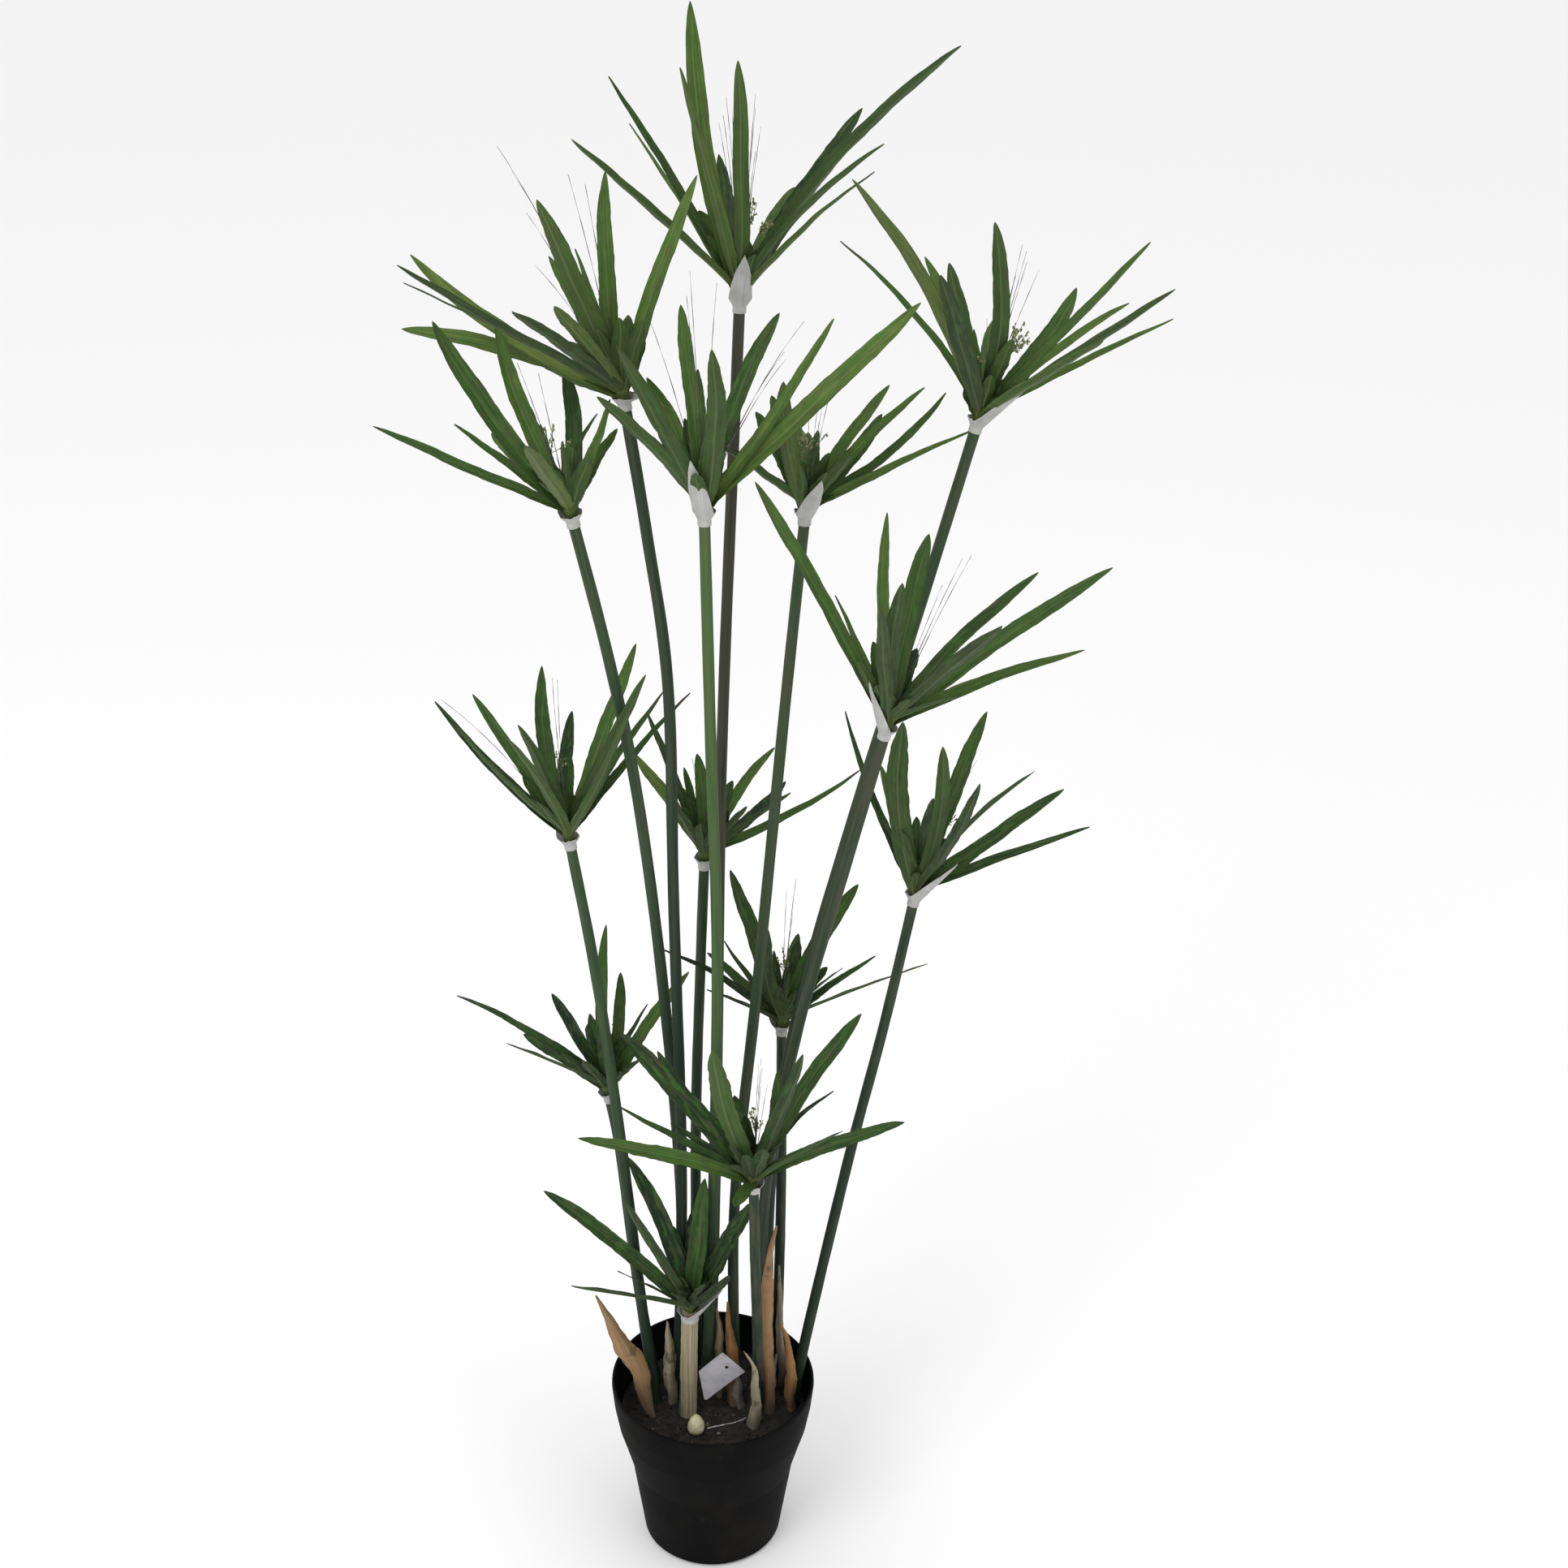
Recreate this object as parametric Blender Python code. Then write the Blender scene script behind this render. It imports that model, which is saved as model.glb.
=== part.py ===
"""Potted umbrella sedge: fourteen tall stems, each with a crown of strap leaves, in a black pot.

Metres, +Z up. The origin is the centre of the pot's underside, and the viewer stands at -Y.
Places of the plant are written in centimetres as (right, back, up), which is (X, Y, Z).
"""

import math

import bpy
import numpy as np
from mathutils import Vector

CM = 0.01
MM = 0.001
GAP = 0.0003

# Pot, turned: radius and height of each corner of its outer wall, in centimetres
POT_OUTSIDE = [(5.52, 0.0), (5.84, 0.35), (6.88, 7.6), (7.00, 8.0), (7.48, 9.8),
               (7.96, 11.5), (8.32, 13.6), (8.50, 15.45), (8.48, 15.75)]
POT_WALL = 0.22
POT_FLOOR = 0.35
POT_STEP = 8.0
POT_SIDES = 32
SHARP_ANGLE = 35.0

# Soil: its level, how far it drops towards the wall, and the share of its radius that stays level.
# Each stem stands in a socket.
SOIL_LEVEL = 12.4
SOIL_DROP = 0.15
SOIL_FLAT = 0.8
SOCKET_DEPTH = 2.0
SOCKET_SLACK = 0.5
SOCKET_SIDES = 6

# Stems: radii at the soil and under the crown, in millimetres
STEM_RADII = (4.6, 4.0)
STALK_RADII = (7.2, 6.6)
STALK = 14
STEM_SPANS = 6
PATH_SAMPLES = 24

# Crowns, in millimetres: the hub on top of a stem, and the leaves that leave it in two tiers.
# A leaf's upper side is turned by these shares towards the viewer and towards the stem.
HUB_SIDES = 6
HUB_HEIGHT = 13.0
HUB_FOOT_RADIUS = 4.0
HUB_TOP_RADIUS = 4.8
TIER_HEIGHTS = (7.5, 10.5)
LEAF_KEEL = 1.5
WIDE_LEAF = 9.0
WIDE_STATIONS = ((0.0, 0.42), (0.3, 0.92), (0.62, 1.0), (0.86, 0.72))
NARROW_STATIONS = ((0.0, 0.42), (0.38, 1.0), (0.78, 0.8))
PLAIN_LEAF = dict(width=10.0, bend=(0.0, 0.2))
VIEWER_TURN = 0.9
STEM_TURN = 0.3
BRISTLE_WIDTH = 1.0

# Paper sheaths round the stem tops, in millimetres
SHEATH_BELOW = 11.0
SHEATH_RIM = -1.0
SHEATH_CLEARANCE = 0.3
SHEATH_FLARE = 3.4
SHEATH_WALL = 0.7
SHEATH_SIDES = 6

# Each head, in centimetres: foot of its stem on the soil, the stem's bends, the point where the
# leaves meet, and from that point the tip of its sheath's flap, of its leaves and of its bristles.
# A leaf's tip is followed by its width in millimetres and by how far its middle is bent from the
# straight way (right, up), where these aren't the plain ones.
HEADS = {
    1: dict(
        foot=(-0.2, 4.0), bends=[(0.2, 4.0, 37), (0.5, 4.1, 72)], top=(1.6, 5.0, 107.0),
        flap=(0.3, -2.0, 3.4),
        leaves=[(-3.4, 1, 19.5, 12, -0.7, 0), (-4, -6, 16.5, 9), (-0.3, -6, 17, 9, 0.2, 0.2), (-9, 4, 14, 7),
                (-7.8, 9, 9.8, 5), (-11.2, -3, 11.3, 8), (14.5, 0, 17, 10, -1.0, 0.9), (8.5, 7, 11.5, 11),
                (8.5, -5, 13, 11, -0.5, 0.4), (9, -9, 12.5, 7, -0.6, 0.5), (8.5, -8, 10.5, 6, -0.3, 0.3),
                (4, 11, 5, 11), (-1.5, 8, 8)],
        bristles=[(-1, 5, 12.5), (1, 4, 13)]),
    2: dict(
        foot=(-3.0, 1.6), bends=[(-2.6, 0.7, 36), (-3.1, -0.4, 62), (-3.4, -1.1, 80), (-4.8, -1.6, 92)],
        top=(-6.3, -2.0, 102.2), flap=(1.6, -1.2, 0.2),
        leaves=[(-1, 2, 14.5, 10, -0.5, 0), (-5.1, -4, 14, 13), (-5.2, 7, 7.5, 8), (-3.8, -9.5, 8.7, 9),
                (-13.9, 1, 9.1, 10, -0.5, -0.8), (-14, -5, 10, 9, -0.1, -0.2), (-9.5, 10, 2.5, 11, -0.5, -0.6),
                (-15, 3, 3.5, 10, 0.1, 0.6), (5, 1, 14.5, 10, -0.3, 0.1), (0, 12, 2, 9),
                (-3.5, 9, 7.5, 7), (-6.3, -11, 8.8), (-13.9, -3, 8.3, 6)],
        bristles=[(-8, 2, 16), (-3.5, 3, 14)]),
    3: dict(
        foot=(4.7, 2.9), bends=[(4.7, 3.1, 34), (6.7, 3.2, 50.4), (10.4, 3.1, 67), (14.0, 3.1, 81.3)],
        top=(18.4, 3.0, 99.1), flap=(3.4, -1.9, 3.2),
        leaves=[(-9.5, -2, 17, 10, 0.9, 0.5), (-9.9, 3, 11.6, 6, 0.6, 0.5), (-3.5, 9, 9, 9, 0.4, 0.2),
                (-4, -9, 12.5, 11), (-3, -4, 12), (0, -3, 14.5, 10, 0.9, 0), (2, 12, 3.5),
                (7.4, 8, 7.1, 12, 0.5, -0.4), (11, 0, 12.5, 7, 0, 0), (11.1, 7, 6.3, 7, -0.3, 0.3),
                (12.4, -3, 10.1, 10, 0, 0), (13.6, 3, 6.3, 6, 0, 0.1), (7, -8, 8)],
        bristles=[(3, 3, 11)]),
    4: dict(
        foot=(-2.6, 3.6), bends=[(-2.7, 2.4, 33), (-3.9, 1.2, 52.5), (-5.6, -0.9, 70.4), (-7.5, -2.4, 82.6)],
        top=(-9.9, -4.0, 94.5), flap=(-0.6, 1.4, 0.2),
        leaves=[(-13, 0, 6, 7, 0, 0), (-7.8, 2, 5.5, 7, 0, 0), (-8.7, 0, 13.2, 12, -0.4, -0.3),
                (-4.8, 2, 12.6, 11, -0.4, -0.2), (-0.7, 8, 7.8, 10, 0.5, 0), (1.5, 9, 4, 6, -0.6, 0.2),
                (2.7, 3, 7, 8, 0.1, 0), (3.1, 4, 4.6, 9), (-6, 9, 2.5), (-2, -11, 8.5),
                (-2.3, 6, 4.2, 8, -0.2, 0)],
        bristles=[(-3.5, 3, 9.5)]),
    5: dict(
        foot=(-0.6, 1.8), bends=[(0.0, -0.2, 36), (0.2, -1.9, 58), (-0.3, -3.4, 76)],
        top=(-0.8, -5.0, 95.1), flap=(-0.9, -2.5, 4.4),
        leaves=[(-5.5, -4, 12.5, 12), (-7, -2, 8.5, 12, 0.3, 0.3), (-1.6, 4, 13, 9), (-0.5, 9, 7, 7),
                (0.5, -6, 13, 12, 0.5, 0), (5, 4, 12.5, 10, -0.6, 0.2), (8.5, 1, 13, 9, 0.2, -0.2),
                (14.1, 0, 14.4, 13, 0, 0), (5.5, 6, 4.5), (-4, 7, 7, 10, 0.3, 0.1), (1.5, 4.5, 5),
                (-2, 9, 2.5)],
        bristles=[(-1, 5, 15), (5.5, 5, 9)]),
    6: dict(
        foot=(1.9, 1.9), bends=[(1.7, 1.7, 32), (3.3, 1.5, 53), (5.1, 1.2, 77.6)],
        top=(6.3, 1.0, 92.9), flap=(1.0, -2.0, 2.9),
        leaves=[(-1.8, -4, 10.6, 12, -0.4, 0), (-6.5, -1, 5.4, 9), (6.1, 7, 6.9, 8, -0.3, 0.2),
                (8, 0, 9, 8, -0.2, 0.2), (5.3, 2, 6.4, 10, 0.2, -0.1),
                (10, 5, 7, 7, 0.5, -0.6), (12, 3, 5, 7), (-3.5, 5, 5.5),
                (-0.5, 9, 3.5), (-2.4, 5, 6.7), (0.5, 11, 2)],
        bristles=[(1, 4, 8)]),
    7: dict(
        foot=(4.3, 1.0), bends=[(4.1, -1.3, 35), (6.3, -3.2, 52), (9.0, -4.5, 65)],
        top=(12.1, -6.0, 79.5), flap=(-1.5, -1.5, 4.0),
        leaves=[(-9.5, 0, 18, 9, 0.2, 0.1), (-3.5, 8, 6.5, 6), (-0.5, 1, 15.5, 8, -0.3, 0),
                (0, -8, 14, 10, -0.3, 0), (2.6, 3, 13.2, 12, -0.2, 0), (10.5, 4, 10, 8, -0.4, 0.4),
                (15, 0, 12, 10, -0.2, 0.3), (6.5, -9, 11.5, 11), (14, 3, 4.5, 7, -0.2, 0.4),
                (10.6, 8, 1.3, 6), (-1.3, -8, 12, 9), (4.6, -4, 4.2, 8)],
        bristles=[(5.5, 2, 12)]),
    8: dict(
        foot=(-4.8, 1.2), bends=[(-5.9, 1.0, 22), (-7.5, 0.6, 40), (-9.1, 0.3, 55)],
        top=(-10.9, 0.0, 67.4), flap=(-0.8, 1.2, 0.2),
        leaves=[(-9.5, 1, 10.5, 8, -0.3, -0.3), (-7.3, 6, 8.8, 7, -0.1, 0.1), (-3.5, -8, 12, 9, 0.3, 0.2),
                (-3, -5, 11.5, 9, 0.3, 0.1), (-1.8, 3, 12.5, 10, -0.7, 0), (0, 8, 6.5, 9, -0.4, 0),
                (5, 6, 13, 9), (6, -4, 15), (5, -8, 14, 8, 0.2, -0.1), (7, 5, 9.5, 7),
                (9, 7, 8.5, 7, -0.2, 0.2), (-7.5, -4, 11, 8, -0.3, -0.3)],
        bristles=[(-1, 2, 12)]),
    9: dict(
        foot=(-1.4, 5.6), bends=[(-1.5, 6.0, 36), (-1.1, 6.2, 53)],
        top=(-0.8, 6.2, 62.3), flap=(0.4, 1.4, 0.1),
        leaves=[(-4.5, 5, 10, 7), (-5.5, 3, 7.4, 8), (-1.6, 2, 6.7, 7), (-0.6, 2, 7.9, 9, 0.2, 0),
                (5.5, 6, 6.5, 8, -0.5, 0.3), (6.5, 9, 2, 8, 0.3, -0.2), (6.6, -1, 6.1, 10, -0.2, 0.1),
                (12, 2, 6.5, 7, 0.3, -0.4), (0.5, 9, 3), (-2, 9, 1.5)],
        bristles=[]),
    10: dict(
        foot=(6.9, 0.6), bends=[(7.6, 0.9, 18), (10.9, 1.8, 36.6), (13.4, 2.5, 49)],
        top=(15.5, 3.0, 60.9), flap=(2.9, -2.0, 3.6),
        leaves=[(-5.7, 3, 14, 7, -0.4, -0.1), (-2.5, 8, 7, 8), (-1.8, -3, 16, 14, -0.8, 0),
                (1, -5, 15, 10, 0.7, 0), (5.3, 5, 13.1, 11, -0.2, 0), (3.5, -8, 13.5, 9, 0.3, -0.2),
                (8.5, 0, 10.5, 10, -0.6, 0.6), (11, 1, 8.5, 10, 0, 0), (9, 9, 2.5, 8, 0.3, -0.2),
                (13.4, 2, 4.7, 7, 0, 0.1), (2, 10, 3)],
        bristles=[(4.5, 5, 11)]),
    11: dict(
        foot=(5.4, 3.9), bends=[(5.6, 4.6, 30)], top=(5.4, 5.0, 47.8), flap=(-0.8, 1.2, 0.2),
        leaves=[(-4.2, 1, 13.4, 12, 0.1, 0), (-4.6, 7, 3.4, 6, -0.2, 0), (-9.6, 0.2, 6.7, 7, 0.3, 0.5),
                (-6, 5, 3.5, 7), (-6, -3, 4.9, 7), (-1.5, -2.2, 10.4, 12, -0.6, 0), (6, 3, 11, 11, -0.5, 0.3),
                (4.7, -0.5, 5.4, 7), (7.5, 2, 5, 7), (11.5, 0, 5.5, 7), (1.5, 8, 3.5), (2.5, 9, 0.5)],
        bristles=[(1, 2, 12)]),
    12: dict(
        foot=(-4.9, 3.2), bends=[(-6.4, 3.0, 24), (-7.6, 2.6, 37)], top=(-8.5, 2.4, 43.1),
        flap=(0.2, 1.4, 0.2),
        leaves=[(-11.6, 0, 8.8, 7, 0.4, 0.7), (-7.5, -4, 7, 7), (-7, 5, 2, 10, 0.2, 0.3), (-4.6, 5, 5.9, 8),
                (-0.3, -1, 7.2, 9), (0, 3, 13.5, 8, -0.4, 0), (1, 4, 8.5, 8, 0.3, 0), (3, 8, 3, 6, -0.2, 0.1),
                (6.5, 2, 9.8, 9, -0.2, 0.2), (-2, 9, 0.5), (2.8, -1, 3.7)],
        bristles=[]),
    13: dict(
        foot=(3.2, -0.6), bends=[(3.7, -1.8, 18.7), (3.3, -4.5, 32.5)], top=(3.1, -6.0, 40.3),
        flap=(-0.4, 1.2, 0.1),
        leaves=[(-13.5, 0, 4, 10, 0.1, 0.4), (-10.5, 3, 4.9, 7, -0.1, 0), (-10, 0, 13.5, 14, 0.2, 0.2),
                (-7.5, 5, 8.7, 9, -0.4, -0.3), (-6.5, 4, 2.6, 7), (-3.2, -3, 14, 15, -0.4, -0.1),
                (3.5, -2, 13, 13), (8.1, 3, 13.4, 11, -0.4, 0.3), (1.8, 2, 9, 8, 0.5, 0),
                (6.4, 7, 3.6, 6, -0.5, 0.5), (6.5, -4, 7.5, 8), (11.5, 0, 5.5, 9, -0.1, 0.4),
                (-1.5, -6, 2), (-1.5, 6.5, 3.5)],
        bristles=[(0.5, 2, 10)]),
    14: dict(
        foot=(-2.1, -0.6), bends=[], top=(-1.9, -1.0, 23.8), flap=(2.7, -0.6, 2.5),
        leaves=[(-11.7, 0, 11.9, 10, 0.3, 0.3), (-9.6, -2, 4, 12, 0, 0.2), (-5.9, -0.2, 4, 6),
                (-5.2, -0.3, 11.1, 12, 0, 0), (-5, 0.3, 15, 12, 0.6, 0.2), (1.2, 0, 13.1, 13),
                (5, 0, 10.7, 13), (3.1, -3, 5.8, 15, 0.2, -0.2), (-1.5, 1, 7.7, 11), (0.3, 2, 8.5, 11)],
        bristles=[]),
}

MATERIALS = {
    "pot": dict(color=(0.016, 0.017, 0.018), roughness=0.45),
    "soil": dict(color=(0.030, 0.022, 0.016), roughness=0.95),
    "stem": dict(color=(0.080, 0.130, 0.050), roughness=0.55),
    "stalk": dict(color=(0.420, 0.370, 0.230), roughness=0.80),
    "leaf": dict(color=(0.080, 0.170, 0.045), roughness=0.50),
    "paper": dict(color=(0.620, 0.610, 0.570), roughness=0.85),
    "straw": dict(color=(0.480, 0.310, 0.150), roughness=0.80),
    "card": dict(color=(0.560, 0.560, 0.590), roughness=0.70),
    "bud": dict(color=(0.720, 0.680, 0.430), roughness=0.60),
}


def clear_scene():
    for obj in list(bpy.data.objects):
        bpy.data.objects.remove(obj, do_unlink=True)


def material(name):
    found = bpy.data.materials.get(name)
    if found:
        return found
    made = bpy.data.materials.new(name)
    made.use_nodes = True
    look = MATERIALS[name]
    shader = made.node_tree.nodes["Principled BSDF"]
    shader.inputs["Base Color"].default_value = (*look["color"], 1.0)
    shader.inputs["Roughness"].default_value = look["roughness"]
    return made


def add_object(name, points, faces, look, helper=False):
    mesh = bpy.data.meshes.new(name)
    mesh.from_pydata([tuple(p) for p in points], [], faces)
    mesh.update()
    mesh.materials.append(material(look))
    obj = bpy.data.objects.new(name, mesh)
    bpy.context.scene.collection.objects.link(obj)
    if helper:
        obj.hide_render = True
        obj.display_type = "WIRE"
    return obj


def centimetres(point):
    return Vector(point) * CM


def smooth_path(points, count):
    """Evenly spaced points on a Catmull-Rom curve through the given ones."""
    p = np.array([tuple(q) for q in points])
    p = np.vstack([2 * p[0] - p[1], p, 2 * p[-1] - p[-2]])
    dense = []
    for i in range(1, len(p) - 2):
        t = np.linspace(0, 1, PATH_SAMPLES, endpoint=i == len(p) - 3)[:, None]
        dense.append(0.5 * (2 * p[i] + (p[i + 1] - p[i - 1]) * t
                            + (2 * p[i - 1] - 5 * p[i] + 4 * p[i + 1] - p[i + 2]) * t**2
                            + (3 * p[i] - p[i - 1] - 3 * p[i + 1] + p[i + 2]) * t**3))
    dense = np.vstack(dense)
    walked = np.concatenate([[0], np.cumsum(np.linalg.norm(np.diff(dense, axis=0), axis=1))])
    wanted = np.linspace(0, walked[-1], count)
    return [Vector([np.interp(w, walked, dense[:, k]) for k in range(3)]) for w in wanted]


def rings_to_faces(ring_count, sides):
    """Side faces of a loft whose rings hold the same number of points, and its two end caps."""
    faces = [(i * sides + j, i * sides + (j + 1) % sides,
              (i + 1) * sides + (j + 1) % sides, (i + 1) * sides + j)
             for i in range(ring_count - 1) for j in range(sides)]
    faces.append(tuple(reversed(range(sides))))
    last = (ring_count - 1) * sides
    faces.append(tuple(range(last, last + sides)))
    return faces


def blade(path, widths, upper, keel):
    """A pointed strap with a flat upper side and a keel below: three points a section, then its tip."""
    points = []
    upper = Vector(upper)
    for i, centre in enumerate(path[:-1]):
        along = (path[i + 1] - path[max(i - 1, 0)]).normalized()
        normal = (upper - along * upper.dot(along)).normalized()
        across = along.cross(normal) * widths[i] / 2
        depth = keel * min(1.0, widths[i] / widths[1])
        points += [centre - across, centre + across, centre - normal * depth]
    faces = rings_to_faces(len(path) - 1, 3)[:-1]
    last = len(points) - 3
    points.append(path[-1])
    faces += [(last + j, last + (j + 1) % 3, last + 3) for j in range(3)]
    return points, faces


def joined(shapes):
    """One list of points and one of faces from several shapes."""
    points, faces = [], []
    for some_points, some_faces in shapes:
        faces += [tuple(len(points) + k for k in face) for face in some_faces]
        points += some_points
    return points, faces


def leaf_path(start, tip, bend, stations):
    """A parabola from start to tip, whose middle lies off the straight way by the bend."""
    middle = centimetres((bend[0], 0.0, bend[1]))
    return [start.lerp(tip, t) + middle * 4 * t * (1 - t) for t in stations]


def leaf_upper(way):
    """The side of the leaf that looks up the stem, turned partly towards the viewer."""
    facing = Vector((0, -VIEWER_TURN if way.y >= 0 else VIEWER_TURN, 1.0))
    outward = Vector((way.x, way.y, 0))
    return facing - outward.normalized() * STEM_TURN if outward.length > 0 else facing


def stem_points(head):
    """The stem's line: sunk in its socket, up through its bends, ending just under the hub."""
    foot = Vector((*head["foot"], SOIL_LEVEL)) * CM
    later = [centimetres(p) for p in head["bends"] + [head["top"]]]
    sunk = foot - (later[0] - foot).normalized() * (SOCKET_DEPTH * CM - 2 * GAP)
    line = smooth_path([sunk, foot] + later, STEM_SPANS + 1)
    axis = (line[-1] - line[-2]).normalized()
    line[-1] = line[-1] - axis * (HUB_HEIGHT / 2 * MM + GAP)
    return line, axis


def add_stem(name, head, radii, look):
    line, axis = stem_points(head)
    curve = bpy.data.curves.new(name, "CURVE")
    curve.dimensions = "3D"
    curve.bevel_depth = radii[1] * MM
    curve.bevel_resolution = 1
    curve.use_fill_caps = True
    spline = curve.splines.new("POLY")
    spline.points.add(len(line) - 1)
    for i, point in enumerate(line):
        spline.points[i].co = (*point, 1.0)
        spline.points[i].radius = 1 + (radii[0] / radii[1] - 1) * (1 - i / (len(line) - 1))
    curve.materials.append(material(look))
    obj = bpy.data.objects.new(name, curve)
    bpy.context.scene.collection.objects.link(obj)
    return axis


def around(centre, axis, towards, radius, sides):
    """A ring of points round an axis, the first of them on the side given."""
    first = (towards - axis * towards.dot(axis)).normalized()
    second = axis.cross(first)
    turns = [2 * math.pi * k / sides for k in range(sides)]
    return [centre + (first * math.cos(t) + second * math.sin(t)) * radius for t in turns]


def leaf_blade(top, axis, number, leaf):
    """One leaf: tips, width and bend as HEADS gives them, from the tier that its turn gives it."""
    width = leaf[3] if len(leaf) > 3 else PLAIN_LEAF["width"]
    bend = leaf[4:] if len(leaf) > 4 else PLAIN_LEAF["bend"]
    stations = WIDE_STATIONS if width >= WIDE_LEAF else NARROW_STATIONS
    start = top + axis * (TIER_HEIGHTS[number % 2] - HUB_HEIGHT / 2) * MM
    tip = top + centimetres(leaf[:3])
    path = leaf_path(start, tip, bend, [t for t, _ in stations] + [1.0])
    widths = [share * width * MM for _, share in stations]
    return blade(path, widths, leaf_upper(tip - start), LEAF_KEEL * MM)


def bristle(top, axis, tip):
    """A thin straight-sided hair from just under the hub's top."""
    start = top + axis * (HUB_HEIGHT / 2 - 2 * BRISTLE_WIDTH) * MM
    end = top + centimetres(tip)
    path = leaf_path(start, end, PLAIN_LEAF["bend"], (0.0, 0.5, 1.0))
    return blade(path, [BRISTLE_WIDTH * MM] * 2, leaf_upper(end - start), BRISTLE_WIDTH * MM)


def add_crown(name, head, axis):
    """Hub and leaves, made one closed body by a union."""
    top = centimetres(head["top"])
    side = Vector((1, 0, 0))
    half = HUB_HEIGHT / 2
    hub = [around(top + axis * h * MM, axis, side, r * MM, HUB_SIDES)
           for h, r in ((-half, HUB_FOOT_RADIUS), (half, HUB_TOP_RADIUS))]
    crown = add_object(name, hub[0] + hub[1], rings_to_faces(2, HUB_SIDES), "leaf")
    shapes = [leaf_blade(top, axis, i, leaf) for i, leaf in enumerate(head["leaves"])]
    shapes += [bristle(top, axis, tip) for tip in head["bristles"]]
    leaves = add_object(name + "_leaves", *joined(shapes), "leaf", helper=True)
    union = crown.modifiers.new("leaves", "BOOLEAN")
    union.operation = "UNION"
    union.object = leaves
    union.use_self = True
    return crown


def add_sheath(name, head, axis, stem_radius):
    """A thin paper cuff round the stem's end that opens into a rim with one pointed flap."""
    top = centimetres(head["top"])
    flap = centimetres(head["flap"])
    radius = (stem_radius + SHEATH_CLEARANCE) / math.cos(math.pi / SHEATH_SIDES)
    outer, inner = [], []
    for height, ring_radius in ((-SHEATH_BELOW, radius), (-HUB_HEIGHT / 2, radius),
                                (SHEATH_RIM, radius + SHEATH_FLARE)):
        centre = top + axis * height * MM
        inner.append(around(centre, axis, flap, ring_radius * MM, SHEATH_SIDES))
        outer.append(around(centre, axis, flap, (ring_radius + SHEATH_WALL) * MM, SHEATH_SIDES))
    out = (outer[2][0] - inner[2][0]).normalized()
    lean = (top + flap) - outer[2][0]
    thick = (out - lean * out.dot(lean) / lean.length_squared).normalized() * SHEATH_WALL * MM
    outer[2][0] = top + flap + thick
    inner[2][0] = top + flap
    rings = outer + inner[::-1]
    points = [p for ring in rings for p in ring]
    sides, count = SHEATH_SIDES, len(rings)
    faces = [(i * sides + j, i * sides + (j + 1) % sides,
              (i + 1) % count * sides + (j + 1) % sides, (i + 1) % count * sides + j)
             for i in range(count) for j in range(sides)]
    return add_object(name, points, faces, "paper")


def turned(profile, sides):
    """A closed turned solid from a profile that starts and ends on the axis."""
    points = [Vector((0, 0, profile[0][1])) * CM]
    inner = profile[1:-1]
    for radius, height in inner:
        points += [Vector((radius * math.cos(a), radius * math.sin(a), height)) * CM
                   for a in (2 * math.pi * k / sides for k in range(sides))]
    points.append(Vector((0, 0, profile[-1][1])) * CM)
    last = len(points) - 1
    start = last - sides
    faces = [(0, 1 + (j + 1) % sides, 1 + j) for j in range(sides)]
    for i in range(len(inner) - 1):
        low, high = 1 + i * sides, 1 + (i + 1) * sides
        faces += [(low + j, low + (j + 1) % sides, high + (j + 1) % sides, high + j) for j in range(sides)]
    faces += [(start + j, start + (j + 1) % sides, last) for j in range(sides)]
    return points, faces


def pot_inside(height):
    """Radius of the pot's inner wall at a height, in centimetres."""
    heights = [h for _, h in POT_OUTSIDE]
    return float(np.interp(height, heights, [r for r, _ in POT_OUTSIDE])) - POT_WALL


def add_pot():
    """The turned pot; its inner wall has corners where the soil's edge and the step are."""
    rim_radius, rim_height = POT_OUTSIDE[-1]
    heights = (rim_height - POT_WALL, SOIL_LEVEL - SOIL_DROP, POT_STEP, POT_FLOOR)
    rim = [(rim_radius - POT_WALL / 2, rim_height)]
    inside = [(pot_inside(h), h) for h in heights]
    profile = [(0, 0)] + POT_OUTSIDE + rim + inside + [(0, POT_FLOOR)]
    pot = add_object("pot", *turned(profile, POT_SIDES), "pot")
    pot.data.shade_smooth()
    pot.data.set_sharp_from_angle(angle=math.radians(SHARP_ANGLE))
    return pot


def add_soil(sockets):
    """The fill, a little lower at the wall, with a socket for each stem."""
    slack = 2 * GAP / CM
    levels = (POT_FLOOR + slack, POT_STEP, SOIL_LEVEL - SOIL_DROP)
    outside = [(pot_inside(h) - slack, h) for h in levels]
    flat = (SOIL_FLAT * outside[-1][0], SOIL_LEVEL)
    profile = [(0, levels[0])] + outside + [flat, (0, SOIL_LEVEL)]
    soil = add_object("soil", *turned(profile, POT_SIDES), "soil")
    cutters = []
    for head, radius in sockets:
        line, _ = stem_points(head)
        axis = (line[1] - line[0]).normalized()
        foot = line[0] + axis * (SOIL_LEVEL * CM - line[0].z) / axis.z
        corner = (radius + SOCKET_SLACK) / math.cos(math.pi / SOCKET_SIDES) * MM
        rings = [around(point, axis, Vector((1, 0, 0)), corner, SOCKET_SIDES)
                 for point in (line[0] - axis * 2 * GAP, foot + axis * CM)]
        cutters.append((rings[0] + rings[1], rings_to_faces(2, SOCKET_SIDES)))
    cutter = add_object("soil_sockets", *joined(cutters), "soil", helper=True)
    cut = soil.modifiers.new("sockets", "BOOLEAN")
    cut.operation = "DIFFERENCE"
    cut.object = cutter
    return soil


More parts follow.
